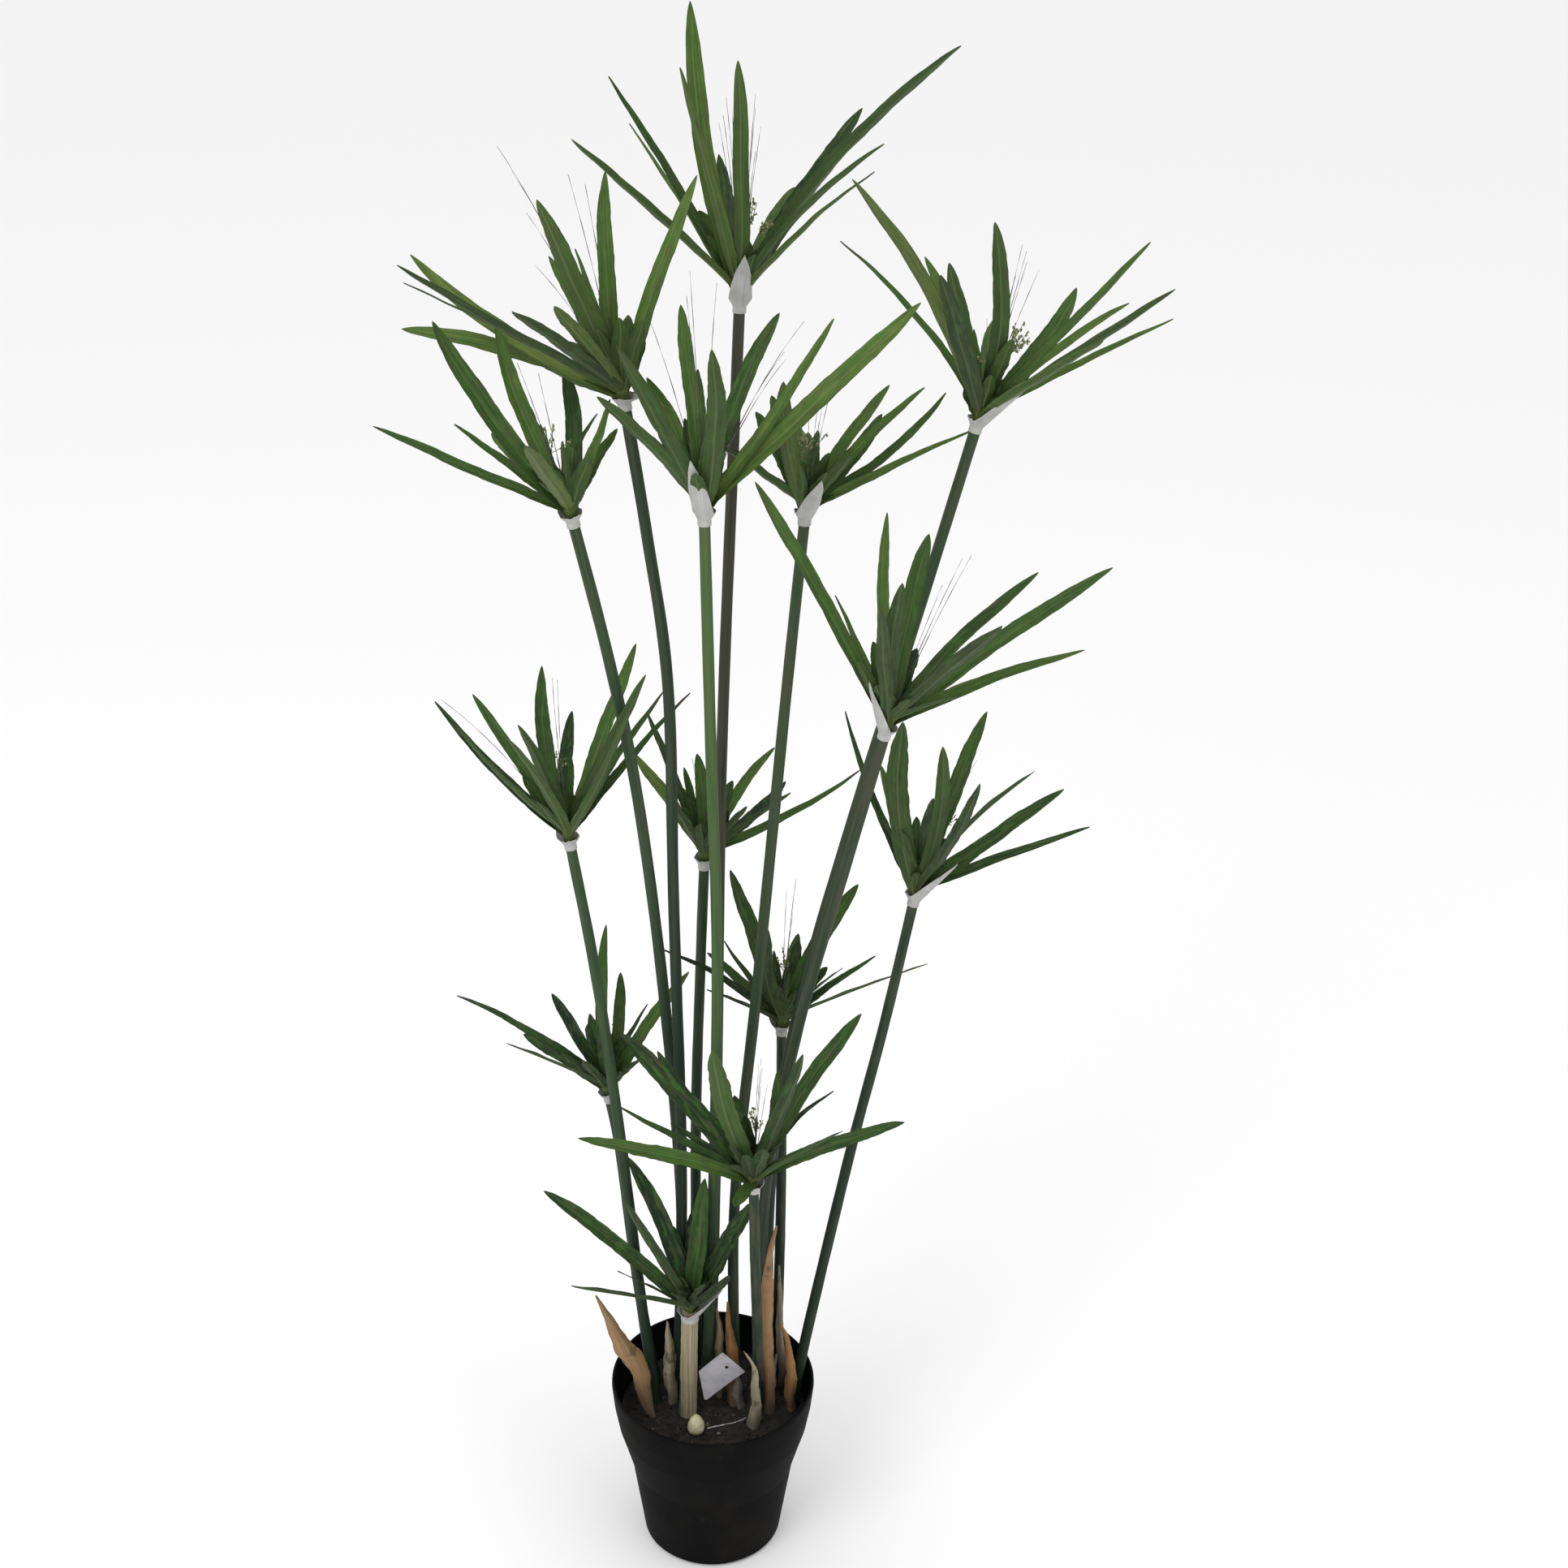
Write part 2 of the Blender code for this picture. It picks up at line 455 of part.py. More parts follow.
# Dry sheaths that stand on the soil: their way and the side they look to in centimetres,
# and their width in millimetres at each point but the tip
DRY_SHEATHS = [
    dict(way=[(-4.9, -1.2), (-6.3, -1.6, 17.7), (-7.3, -2.0, 20.6), (-8.7, -2.3, 24.2), (-9.5, -2.5, 26.3)],
         widths=[6, 17, 19, 9], looks=(0.4, -1, 0.3)),
    dict(way=[(-3.6, 0.4), (-3.6, 0.4, 17.5), (-3.8, 0.3, 21.3)], widths=[10, 12], looks=(0, -1, 0.2)),
    dict(way=[(0.7, 1.1), (0.55, 1.2, 19.3), (0.3, 1.3, 21.9)], widths=[6, 9], looks=(0.3, -1, 0)),
    dict(way=[(1.7, 0.0), (1.5, 0.3, 18.4), (1.2, 0.6, 23.1)], widths=[12, 11], looks=(0, -1, 0.1)),
    dict(way=[(2.2, -0.4), (2.1, -0.4, 14.4), (2.05, -0.4, 16.6)], widths=[8, 10], looks=(0, -1, 0.1)),
    dict(way=[(3.4, -2.8), (3.5, -2.8, 15.7), (3.3, -2.9, 19.0), (2.6, -3.0, 20.8)],
         widths=[12, 9, 6], looks=(-0.3, -1, 0.1)),
    dict(way=[(4.6, -0.9), (4.4, -1.0, 21.5), (4.4, -1.1, 27.0), (5.1, -1.0, 32.1)],
         widths=[10, 13, 13], looks=(0, -1, 0.1)),
    dict(way=[(5.8, 2.6), (5.7, 2.6, 18.4), (5.5, 2.6, 25.3)], widths=[7, 7], looks=(0, -1, 0)),
    dict(way=[(4.9, 0.1), (5.0, 0.1, 15.4), (5.3, 0.1, 18.0)], widths=[6, 6], looks=(0, -1, 0)),
    dict(way=[(6.6, -0.6), (6.4, -0.6, 16.8), (6.3, -0.5, 19.7), (5.6, -0.3, 21.5)],
         widths=[9, 11, 7], looks=(0, -1, 0.1)),
]
DRY_SHEATH_KEEL = 1.2

# Blank hang tag, wedged between the stalk and the dry sheaths
TAG_CORNERS = [(-0.7, -0.9, 14.0), (2.7, -0.75, 16.9), (0.8, -0.8, 19.0), (-1.2, -0.9, 17.1)]
TAG_HOLE = (1.15, -0.8, 17.4)
TAG_HOLE_RADIUS = 1.6
TAG_HOLE_SIDES = 8
TAG_THICKNESS = 0.6

# Cream bud in front of the stalk, turned: radius and height above the soil in millimetres
BUD_FOOT = (-1.4, -3.3)
BUD_OUTSIDE = [(3.0, 0.3), (6.4, 5.0), (7.0, 10.0), (4.6, 17.0)]
BUD_HEIGHT = 22.0
BUD_SIDES = 10

# Pale root on the soil
ROOT_WAY = [(-0.5, -2.7), (0.2, -2.45), (1.1, -2.2), (2.0, -1.9), (2.8, -1.4)]
ROOT_RADIUS = 0.6


def on_soil(point, lift):
    """A point given by right and back alone stands on the soil, higher by the lift."""
    return centimetres(point if len(point) > 2 else (*point, SOIL_LEVEL + lift))


def add_dry_sheaths():
    for number, sheath in enumerate(DRY_SHEATHS, 1):
        path = [on_soil(p, GAP / CM) for p in sheath["way"]]
        widths = [w * MM for w in sheath["widths"]]
        points, faces = blade(path, widths, sheath["looks"], DRY_SHEATH_KEEL * MM)
        for point in points[:3]:
            point.z = path[0].z
        add_object(f"dry_sheath_{number:02d}", points, faces, "straw")


def add_tag():
    """A four-cornered card with a punched hole."""
    corners = [centimetres(c) for c in TAG_CORNERS]
    normal = (corners[1] - corners[0]).cross(corners[2] - corners[0]).normalized()
    half = normal * TAG_THICKNESS / 2 * MM
    points = [c - half for c in corners] + [c + half for c in corners]
    tag = add_object("tag", points, rings_to_faces(2, 4), "card")
    centre = centimetres(TAG_HOLE)
    sides, radius = TAG_HOLE_SIDES, TAG_HOLE_RADIUS * MM
    punch = [around(centre + normal * h * CM, normal, Vector((0, 0, 1)), radius, sides) for h in (-1, 1)]
    cutter = add_object("tag_punch", punch[0] + punch[1], rings_to_faces(2, sides), "card", helper=True)
    cut = tag.modifiers.new("hole", "BOOLEAN")
    cut.operation = "DIFFERENCE"
    cut.object = cutter
    return tag


def add_bud():
    outside = BUD_OUTSIDE + [(0, BUD_HEIGHT)]
    rings = [(radius * MM / CM, SOIL_LEVEL + height * MM / CM) for radius, height in outside]
    profile = [(0, rings[0][1])] + rings
    points, faces = turned(profile, BUD_SIDES)
    moved = [p + centimetres((*BUD_FOOT, 0)) for p in points]
    bud = add_object("shoot_bud", moved, faces, "bud")
    bud.data.shade_smooth()
    return bud


def add_root():
    curve = bpy.data.curves.new("surface_root", "CURVE")
    curve.dimensions = "3D"
    curve.bevel_depth = ROOT_RADIUS * MM
    curve.bevel_resolution = 0
    curve.use_fill_caps = True
    spline = curve.splines.new("POLY")
    spline.points.add(len(ROOT_WAY) - 1)
    for point, place in zip(spline.points, ROOT_WAY):
        point.co = (*on_soil(place, (ROOT_RADIUS * MM + GAP) / CM), 1.0)
    curve.materials.append(material("straw"))
    root = bpy.data.objects.new("surface_root", curve)
    bpy.context.scene.collection.objects.link(root)
    return root


def main():
    clear_scene()
    add_pot()
    sockets = []
    for number, head in HEADS.items():
        radii = STALK_RADII if number == STALK else STEM_RADII
        axis = add_stem(f"stem_{number:02d}", head, radii, "stalk" if number == STALK else "stem")
        add_crown(f"crown_{number:02d}", head, axis)
        add_sheath(f"sheath_{number:02d}", head, axis, radii[1])
        sockets.append((head, radii[0]))
    add_soil(sockets)
    add_dry_sheaths()
    add_tag()
    add_bud()
    add_root()


main()
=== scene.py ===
import math

import bpy
import numpy as np
from mathutils import Matrix, Vector


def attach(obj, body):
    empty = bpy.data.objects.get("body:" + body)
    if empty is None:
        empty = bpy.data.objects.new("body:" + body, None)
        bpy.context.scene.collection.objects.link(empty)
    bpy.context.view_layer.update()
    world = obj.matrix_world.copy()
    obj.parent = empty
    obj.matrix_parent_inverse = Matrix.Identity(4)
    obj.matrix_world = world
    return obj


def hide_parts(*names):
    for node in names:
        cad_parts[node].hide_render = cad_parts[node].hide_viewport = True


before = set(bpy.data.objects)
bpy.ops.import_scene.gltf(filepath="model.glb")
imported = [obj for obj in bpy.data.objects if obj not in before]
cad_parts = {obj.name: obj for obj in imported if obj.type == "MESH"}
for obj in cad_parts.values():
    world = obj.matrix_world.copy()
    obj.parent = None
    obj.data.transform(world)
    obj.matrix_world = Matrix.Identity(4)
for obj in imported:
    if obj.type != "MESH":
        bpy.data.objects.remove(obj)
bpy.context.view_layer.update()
cm = 0.01
mm = 0.001


# Small helpers on arrays

def unit(v):
    return v / np.linalg.norm(v, axis=-1, keepdims=True)


def smooth(t):                       # 3t2 - 2t3, held between 0 and 1
    t = np.clip(t, 0, 1)
    return t * t * (3 - 2 * t)


def ripple(t, rng, waves):           # mean of sines of the given wave numbers, phases drawn
    return sum(np.sin(2 * np.pi * (w * t + rng.random())) for w in waves) / len(waves)


def curveThrough(points, count, samples=24):
    # Catmull-Rom through the points: each span is the cubic whose end slopes are half the step
    # between the neighbours; then points are picked at even steps of the length walked
    p = np.array(points, float)
    p = np.vstack([2 * p[0] - p[1], p, 2 * p[-1] - p[-2]])
    dense = []
    for i in range(1, len(p) - 2):
        t = np.linspace(0, 1, samples, endpoint=i == len(p) - 3)[:, None]
        dense.append(0.5 * (2 * p[i] + (p[i + 1] - p[i - 1]) * t
                            + (2 * p[i - 1] - 5 * p[i] + 4 * p[i + 1] - p[i + 2]) * t**2
                            + (3 * p[i] - p[i - 1] - 3 * p[i + 1] + p[i + 2]) * t**3))
    dense = np.vstack(dense)
    walked = np.concatenate([[0], np.cumsum(np.linalg.norm(np.diff(dense, axis=0), axis=1))])
    wanted = np.linspace(0, walked[-1], count)
    return np.stack([np.interp(wanted, walked, dense[:, k]) for k in range(3)], axis=1)


def carried(line, upper):
    # Frame along a line: its direction, the given side made square to it, and their cross product
    along = unit(np.gradient(line, axis=0))
    normal = unit(upper - along * (along @ upper)[:, None])
    return along, normal, np.cross(along, normal)


def twisted(normal, across, angle):
    # The two sides of a frame turned about its direction, by the angle given at each point
    c, s = np.cos(angle)[:, None], np.sin(angle)[:, None]
    return normal * c + across * s, across * c - normal * s


# Shapes. Each is (points, face arrays, {attribute: values}).

def gridFaces(rows, cols, wraps, first=0, flipped=False):
    i = np.arange(rows - 1)[:, None]
    j = np.arange(cols if wraps else cols - 1)[None, :]
    k = (j + 1) % cols
    quads = np.stack([i * cols + j, i * cols + k, (i + 1) * cols + k, (i + 1) * cols + j], axis=-1)
    quads = quads.reshape(-1, 4) + first
    return quads[:, ::-1] if flipped else quads


def cappedFaces(rows, sides, flipped=False):
    # Rings joined in order, with a fan at each end to one of two points stored after the rings
    j = np.arange(sides)
    k = (j + 1) % sides
    if flipped:
        j, k = k, j
    end, last = rows * sides, (rows - 1) * sides
    return [gridFaces(rows, sides, True, 0, flipped), np.stack([np.full(sides, end), k, j], -1),
            np.stack([np.full(sides, end + 1), last + j, last + k], -1)]


def shell(grid, normals, thick, wraps=False, **attributes):
    # A thin closed solid: the grid moved by half the thickness to each side along its normals,
    # and joined along its open edges
    rows, cols = grid.shape[:2]
    half = np.broadcast_to(np.asarray(thick, float), (rows, cols))[..., None] / 2
    points = np.concatenate([(grid + normals * half).reshape(-1, 3),
                             (grid - normals * half).reshape(-1, 3)])
    top = np.arange(rows * cols).reshape(rows, cols)
    low = top + rows * cols
    faces = [gridFaces(rows, cols, wraps), gridFaces(rows, cols, wraps, rows * cols, True)]
    around = np.concatenate([top, top[:, :1]], axis=1) if wraps else top
    under = around + rows * cols
    faces.append(np.stack([around[0, :-1], under[0, :-1], under[0, 1:], around[0, 1:]], -1))
    faces.append(np.stack([around[-1, :-1], around[-1, 1:], under[-1, 1:], under[-1, :-1]], -1))
    if not wraps:
        faces.append(np.stack([top[:-1, 0], top[1:, 0], low[1:, 0], low[:-1, 0]], -1))
        faces.append(np.stack([top[:-1, -1], low[:-1, -1], low[1:, -1], top[1:, -1]], -1))
    doubled = {}
    for name, values in attributes.items():
        values = np.broadcast_to(np.asarray(values, float), (rows, cols)).reshape(-1)
        doubled[name] = np.concatenate([values, values])
    doubled["under"] = np.repeat([0.0, 1.0], rows * cols)
    return points, faces, doubled


def tube(line, radii, sides, upper=(0.2, -1, 0.3), **attributes):
    # A round bar: at each point of the line a ring of the radius given there, closed by fans;
    # an attribute is one value, one for each ring, or an array of (rings, sides)
    along, normal, across = carried(line, np.array(upper, float))
    turn = np.linspace(0, 2 * np.pi, sides, endpoint=False)
    radii = np.asarray(radii, float)
    radii = radii[:, None] if radii.ndim == 1 else radii
    ring = normal[:, None] * np.cos(turn)[:, None] + across[:, None] * np.sin(turn)[:, None]
    rows = len(line)
    points = np.concatenate([(line[:, None] + ring * radii[..., None]).reshape(-1, 3), line[[0, -1]]])
    made = {}
    for name, values in attributes.items():
        values = np.asarray(values, float)
        if values.ndim == 1:
            values = values[:, None]
        values = np.broadcast_to(values, (rows, sides)).reshape(-1)
        made[name] = np.concatenate([values, values[[0, -1]]])
    return points, cappedFaces(rows, sides, True), made


def turnedShape(profile, sides, centre=(0, 0), push=None):
    # A closed surface of revolution: (radius, height) carried round; push moves radius and height
    # by a function of the turn and of the place on the profile
    profile = np.array(profile, float)
    turn = np.linspace(0, 2 * np.pi, sides, endpoint=False)
    radius = np.repeat(profile[1:-1, :1], sides, axis=1)
    height = np.repeat(profile[1:-1, 1:], sides, axis=1)
    if push:
        radius, height = push(radius, height, turn)
    rows = len(profile) - 2
    x, y = centre[0] + radius * np.cos(turn), centre[1] + radius * np.sin(turn)
    ends = np.array([[*centre, height[0].mean()], [*centre, height[-1].mean()]])
    points = np.concatenate([np.stack([x, y, height], -1).reshape(-1, 3), ends])
    return points, cappedFaces(rows, sides), {}


def addPiece(name, shapes, material, stands=(), sharp=50):
    # One mesh object of several shapes; it rides on the root and stands for the CAD nodes named
    points = np.concatenate([shape[0] for shape in shapes])
    firsts = np.concatenate([[0], np.cumsum([len(shape[0]) for shape in shapes])[:-1]])
    faces = [face for shape, first in zip(shapes, firsts) for array in shape[1]
             for face in (array + first).tolist()]
    mesh = bpy.data.meshes.new(name)
    mesh.from_pydata(points.tolist(), [], faces)
    for key in shapes[0][2]:
        layer = mesh.attributes.new(key, "FLOAT", "POINT")
        values = np.concatenate([shape[2][key] for shape in shapes])
        layer.data.foreach_set("value", values.astype(np.float32))
    mesh.shade_smooth()
    mesh.set_sharp_from_angle(angle=math.radians(sharp))
    mesh.materials.append(material)
    piece = bpy.data.objects.new(name, mesh)
    bpy.context.scene.collection.objects.link(piece)
    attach(piece, "root")
    if stands:
        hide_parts(*stands)
    return piece


# Shader maths: a Flow is a socket with arithmetic, and a Look is one material being wired

class Flow:
    def __init__(self, look, socket):
        self.look = look
        self.socket = socket

    def maths(self, operation, *values):
        return self.look.node("Math", {"operation": operation}, dict(enumerate(values)))

    def __add__(self, other):
        return self.maths("ADD", self, other)

    def __sub__(self, other):
        return self.maths("SUBTRACT", self, other)

    def __mul__(self, other):
        return self.maths("MULTIPLY", self, other)

    def __rsub__(self, other):
        return self.maths("SUBTRACT", other, self)

    def __abs__(self):
        return self.maths("ABSOLUTE", self)

    __radd__ = __add__

    def rise(self, low, high):       # 0 below low, 1 above high, smooth between
        return self.look.node("MapRange", {"interpolation_type": "SMOOTHSTEP"},
                              {0: self, 1: low, 2: high})


class Look:
    def __init__(self, name):
        self.material = bpy.data.materials.new(name)
        self.material.use_nodes = True
        self.tree = self.material.node_tree
        self.tree.nodes.clear()

    def node(self, kind, settings=None, sockets=None, out=0):
        made = self.tree.nodes.new("ShaderNode" + kind)
        for key, value in (settings or {}).items():
            if key == "stops":
                while len(made.color_ramp.elements) < len(value):
                    made.color_ramp.elements.new(0.5)
                for element, (place, color) in zip(made.color_ramp.elements, value):
                    element.position = place
                    element.color = (*color, 1)
            else:
                setattr(made, key, value)
        for key, value in (sockets or {}).items():
            socket = made.inputs[key]
            if isinstance(value, Flow):
                self.tree.links.new(value.socket, socket)
            else:
                socket.default_value = (*value, 1) if socket.type == "RGBA" else value
        return Flow(self, made.outputs[out])

    def place(self):                 # the piece's own coordinates
        return self.node("TexCoord", out="Object")

    def reads(self, *attributes):
        return [self.node("Attribute", {"attribute_name": name}, out="Fac") for name in attributes]

    def vector(self, x, y, z):
        return self.node("CombineXYZ", None, {0: x, 1: y, 2: z})

    def noise(self, vector, scale, detail=3.0, rough=0.55):
        return self.node("TexNoise", None, {"Vector": vector, "Scale": scale, "Detail": detail,
                                            "Roughness": rough})

    def mottle(self, scale, detail=3.0, rough=0.55):
        return self.noise(self.place(), scale, detail, rough)

    def mix(self, factor, a, b):
        return self.node("Mix", {"data_type": "RGBA"}, {0: factor, 6: a, 7: b}, out=2)

    def ramp(self, factor, *stops):
        return self.node("ValToRGB", {"stops": stops}, {0: factor})

    def bump(self, height, strength, depth):
        return self.node("Bump", None, {"Height": height, "Strength": strength, "Distance": depth})

    def close(self, color, rough, normal=None, gloss=0.5):
        shader = self.node("BsdfPrincipled", None, {"Base Color": color, "Roughness": rough,
                                                    "Specular IOR Level": gloss})
        if normal:
            self.tree.links.new(normal.socket, shader.socket.node.inputs["Normal"])
        out = self.tree.nodes.new("ShaderNodeOutputMaterial")
        self.tree.links.new(shader.socket, out.inputs["Surface"])
        return self.material


# Finishes

def leafFinish():
    # tone runs from dark bluish green (0) to light yellow green (1); tip is the share of the
    # length that has browned; across is -1 to 1 from edge to edge, along 0 to 1 from the hub
    look = Look("leaf green")
    across, along, tone, seed, tip, under = look.reads("across", "along", "tone", "seed", "tip", "under")
    lengthwise = look.vector(across * 3.0 + seed * 40, along * 2.2, seed * 17)
    streaks = look.noise(look.vector(across * 9 + seed * 31, along * 1.6, seed * 7), 1.6, 4)
    patches = look.noise(lengthwise, 1.4, 3)
    grain = look.mottle(900, 2)
    blotches = look.mottle(95, 4, 0.65)
    shade = tone + (patches - 0.5) * 0.9 + (streaks - 0.5) * 0.5 + (blotches - 0.5) * 0.5
    green = look.ramp(shade, (0.0, (0.010, 0.024, 0.012)), (0.25, (0.021, 0.050, 0.013)),
                      (0.5, (0.040, 0.090, 0.017)), (0.75, (0.070, 0.130, 0.024)),
                      (1.0, (0.130, 0.185, 0.040)))
    olive = look.noise(look.vector(across * 1.5 + seed * 11, along * 5, seed * 5), 1.5, 2)
    green = look.mix(olive.rise(0.50, 0.66) * 0.6, green, (0.070, 0.070, 0.032))
    vivid = look.noise(look.vector(across * 1.2 + seed * 23, along * 5, seed * 3), 1.8, 2)
    green = look.mix(vivid.rise(0.54, 0.68) * 0.55, green, (0.040, 0.140, 0.016))
    rib = 1 - abs(across).rise(0.03, 0.12)
    green = look.mix(rib * (tone * 0.6 + 0.05 + under * 0.2), green, (0.150, 0.190, 0.075))
    green = look.mix(under * 0.35, green, (0.040, 0.054, 0.026))
    edge = abs(across + (streaks - 0.5) * 0.1).rise(0.84, 1.0)
    green = look.mix(edge * 0.4, green, (0.022, 0.034, 0.014))
    foot = 1 - along.rise(0.0, 0.13)
    green = look.mix(foot * 0.45, green, (0.110, 0.115, 0.034))
    brown = (along + (streaks - 0.5) * 0.1 + tip).rise(0.97, 1.06)
    dead = look.mix(grain, (0.028, 0.022, 0.020), (0.080, 0.066, 0.056))
    green = look.mix(brown * 0.85, green, dead)
    height = streaks * 0.6 + grain * 0.15 + rib * 0.5
    rough = 0.5 + streaks * 0.22 + brown * 0.2
    return look.close(green, rough, look.bump(height, 0.5, 0.4 * mm), gloss=0.18)


def stemFinish():
    # up is 0 at the soil and 1 under the crown; turn goes round; warm and tone are per stem, and tone also
    # carries painted shade that darkens towards the foot
    look = Look("stem green")
    up, cosine, sine, tone, warm, seed = look.reads("up", "cosine", "sine", "tone", "warm", "seed")
    ribs = look.noise(look.vector(cosine * 5 + seed * 13, sine * 5, up * 2.5), 1.7, 4)
    patches = look.noise(look.vector(cosine * 0.7 + seed * 29, sine * 0.7, up * 7), 1.5, 3)
    shade = tone + (ribs - 0.5) * 0.5 + (patches - 0.5) * 0.5
    color = look.ramp(shade, (0.0, (0.009, 0.018, 0.012)), (0.3, (0.018, 0.036, 0.020)),
                      (0.55, (0.040, 0.074, 0.032)), (0.8, (0.072, 0.125, 0.040)),
                      (1.0, (0.140, 0.190, 0.070)))
    brown = (patches + warm).rise(0.66, 0.94)
    dead = look.mix(ribs, (0.034, 0.028, 0.021), (0.096, 0.080, 0.056))
    color = look.mix(brown * 0.75, color, dead)
    pale = look.noise(look.vector(cosine * 9, sine * 9 + seed * 3, up * 9), 2.0, 2).rise(0.66, 0.78)
    color = look.mix(pale * 0.35, color, (0.140, 0.155, 0.090))
    rough = 0.5 + ribs * 0.25
    return look.close(color, rough, look.bump(ribs + patches * 0.3, 0.6, 0.6 * mm), gloss=0.18)


def stalkFinish():
    look = Look("pale fibrous stalk")
    up, cosine, sine = look.reads("up", "cosine", "sine")
    fibres = look.noise(look.vector(cosine * 8, sine * 8, up * 1.2), 1.8, 5)
    patches = look.mottle(60, 3)
    color = look.ramp(fibres, (0.3, (0.120, 0.095, 0.062)), (0.5, (0.300, 0.255, 0.160)),
                      (0.72, (0.520, 0.460, 0.310)))
    teal = (0.62 - up + (cosine * -0.2) + sine * -0.35 + (patches - 0.5) * 0.5).rise(0.35, 0.65)
    color = look.mix(teal * 0.8, color, (0.030, 0.060, 0.048))
    return look.close(color, 0.8, look.bump(fibres, 0.8, 0.8 * mm))


def paperFinish():
    look = Look("pale papery sheath")
    across, along, seed = look.reads("across", "along", "seed")
    fibres = look.noise(look.vector(across * 30 + seed * 9, along * 1.5, seed * 5), 1.4, 4)
    cloud = look.mottle(90, 3)
    color = look.ramp(fibres * 0.5 + cloud * 0.5, (0.3, (0.290, 0.290, 0.275)),
                      (0.5, (0.400, 0.400, 0.385)), (0.7, (0.520, 0.520, 0.505)))
    foot = 1 - along.rise(0.05, 0.5)
    color = look.mix(foot * 0.25, color, (0.330, 0.330, 0.290))
    return look.close(color, 0.7, look.bump(fibres + cloud * 0.4, 0.35, 0.4 * mm))


def strawFinish():
    # tone picks the colour of the piece: greyish lilac at 0, tan at 0.5, orange brown at 1
    look = Look("dry straw")
    across, along, seed, tone, pale = look.reads("across", "along", "seed", "tone", "pale")
    fibres = look.noise(look.vector(across * 12 + seed * 9, along * 1.6, seed * 5), 1.5, 5)
    cloud = look.mottle(120, 3)
    color = look.ramp(tone + (cloud - 0.5) * 0.7, (0.0, (0.100, 0.095, 0.095)),
                      (0.3, (0.190, 0.165, 0.130)), (0.6, (0.300, 0.180, 0.070)),
                      (1.0, (0.270, 0.110, 0.030)))
    color = look.mix(pale, color, (0.440, 0.410, 0.290))
    color = look.mix(fibres.rise(0.42, 0.62) * 0.5, color, (0.090, 0.056, 0.030))
    rot = look.mottle(55, 4, 0.6).rise(0.54, 0.68)
    color = look.mix(rot * 0.7, color, (0.045, 0.030, 0.020))
    foot = 1 - (along + (cloud - 0.5) * 0.3).rise(0.05, 0.35)
    color = look.mix(foot * 0.6, color, (0.060, 0.045, 0.040))
    return look.close(color, 0.8, look.bump(fibres + cloud * 0.5, 0.7, 0.5 * mm))


def seedFinish():
    look = Look("seed cluster")
    seed, tone = look.reads("seed", "tone")
    speckle = look.mottle(700, 2)
    color = look.ramp(tone + (speckle - 0.5) * 0.6, (0.0, (0.060, 0.055, 0.030)),
                      (0.45, (0.150, 0.180, 0.055)), (1.0, (0.420, 0.430, 0.200)))
    return look.close(look.mix(seed * 0.25, color, (0.300, 0.260, 0.130)), 0.7)


def hairFinish():
    look = Look("fine dark hair")
    grain = look.mottle(300, 2)
    color = look.ramp(grain, (0.3, (0.020, 0.022, 0.020)), (0.7, (0.085, 0.082, 0.078)))
    return look.close(color, 0.7)


def potFinish():
    look = Look("black pot plastic")
    place = look.place()
    cloud = look.noise(place, 22, 4)
    speck = look.noise(place, 420, 3)
    color = look.ramp(cloud, (0.3, (0.004, 0.004, 0.005)), (0.5, (0.006, 0.006, 0.006)),
                      (0.7, (0.011, 0.010, 0.008)))
    dust = look.noise(place, 60, 5).rise(0.60, 0.80)
    color = look.mix(dust * 0.35, color, (0.022, 0.020, 0.018))
    rough = 0.45 + cloud * 0.25 + dust * 0.15
    return look.close(color, rough, look.bump(speck + cloud * 2, 0.25, 0.25 * mm), gloss=0.02)


def soilFinish():
    look = Look("dark soil")
    place = look.place()
    clods = look.noise(place, 130, 5, 0.65)
    color = look.ramp(clods, (0.3, (0.004, 0.003, 0.003)), (0.5, (0.012, 0.009, 0.007)),
                      (0.75, (0.034, 0.025, 0.019)))
    return look.close(color, 0.95, look.bump(clods, 1.0, 2 * mm))


def crumbFinish():
    look = Look("soil crumbs")
    tone = look.reads("tone")[0]
    grain = look.mottle(500, 3)
    color = look.ramp(tone + (grain - 0.5) * 0.3, (0.0, (0.006, 0.005, 0.004)),
                      (0.7, (0.022, 0.016, 0.012)), (0.92, (0.070, 0.050, 0.036)),
                      (1.0, (0.220, 0.200, 0.170)))
    return look.close(color, 0.95, look.bump(grain, 0.8, 0.5 * mm))


def cardFinish():
    look = Look("grey card")
    place = look.place()
    cloud, fibre = look.noise(place, 70, 3), look.noise(place, 900, 2)
    color = look.ramp(cloud, (0.3, (0.330, 0.320, 0.350)), (0.6, (0.470, 0.460, 0.490)))
    return look.close(color, 0.75, look.bump(fibre, 0.2, 0.2 * mm))


def budFinish():
    look = Look("cream bud")
    height = look.node("SeparateXYZ", None, {0: look.place()}, out="Z")
    cloud = look.mottle(180, 4)
    color = look.ramp(cloud, (0.3, (0.330, 0.290, 0.150)), (0.6, (0.640, 0.600, 0.380)))
    # painted shadow: the bud's foot, where it meets the soil, is painted dark reddish brown
    foot = 1 - (height + (cloud - 0.5) * 0.004).rise(12.6 * cm, 13.2 * cm)
    color = look.mix(foot * 0.85, color, (0.060, 0.022, 0.014))
    return look.close(color, 0.6, look.bump(cloud, 0.5, 0.6 * mm))


def rootFinish():
    look = Look("pale rootlet")
    cloud = look.mottle(260, 3)
    color = look.ramp(cloud, (0.3, (0.330, 0.300, 0.330)), (0.7, (0.620, 0.590, 0.610)))
    return look.close(color, 0.7)


print("finishes")
leafGreen, stemGreen, palePaper, dryStraw = leafFinish(), stemFinish(), paperFinish(), strawFinish()
seedTan, hairDark = seedFinish(), hairFinish()


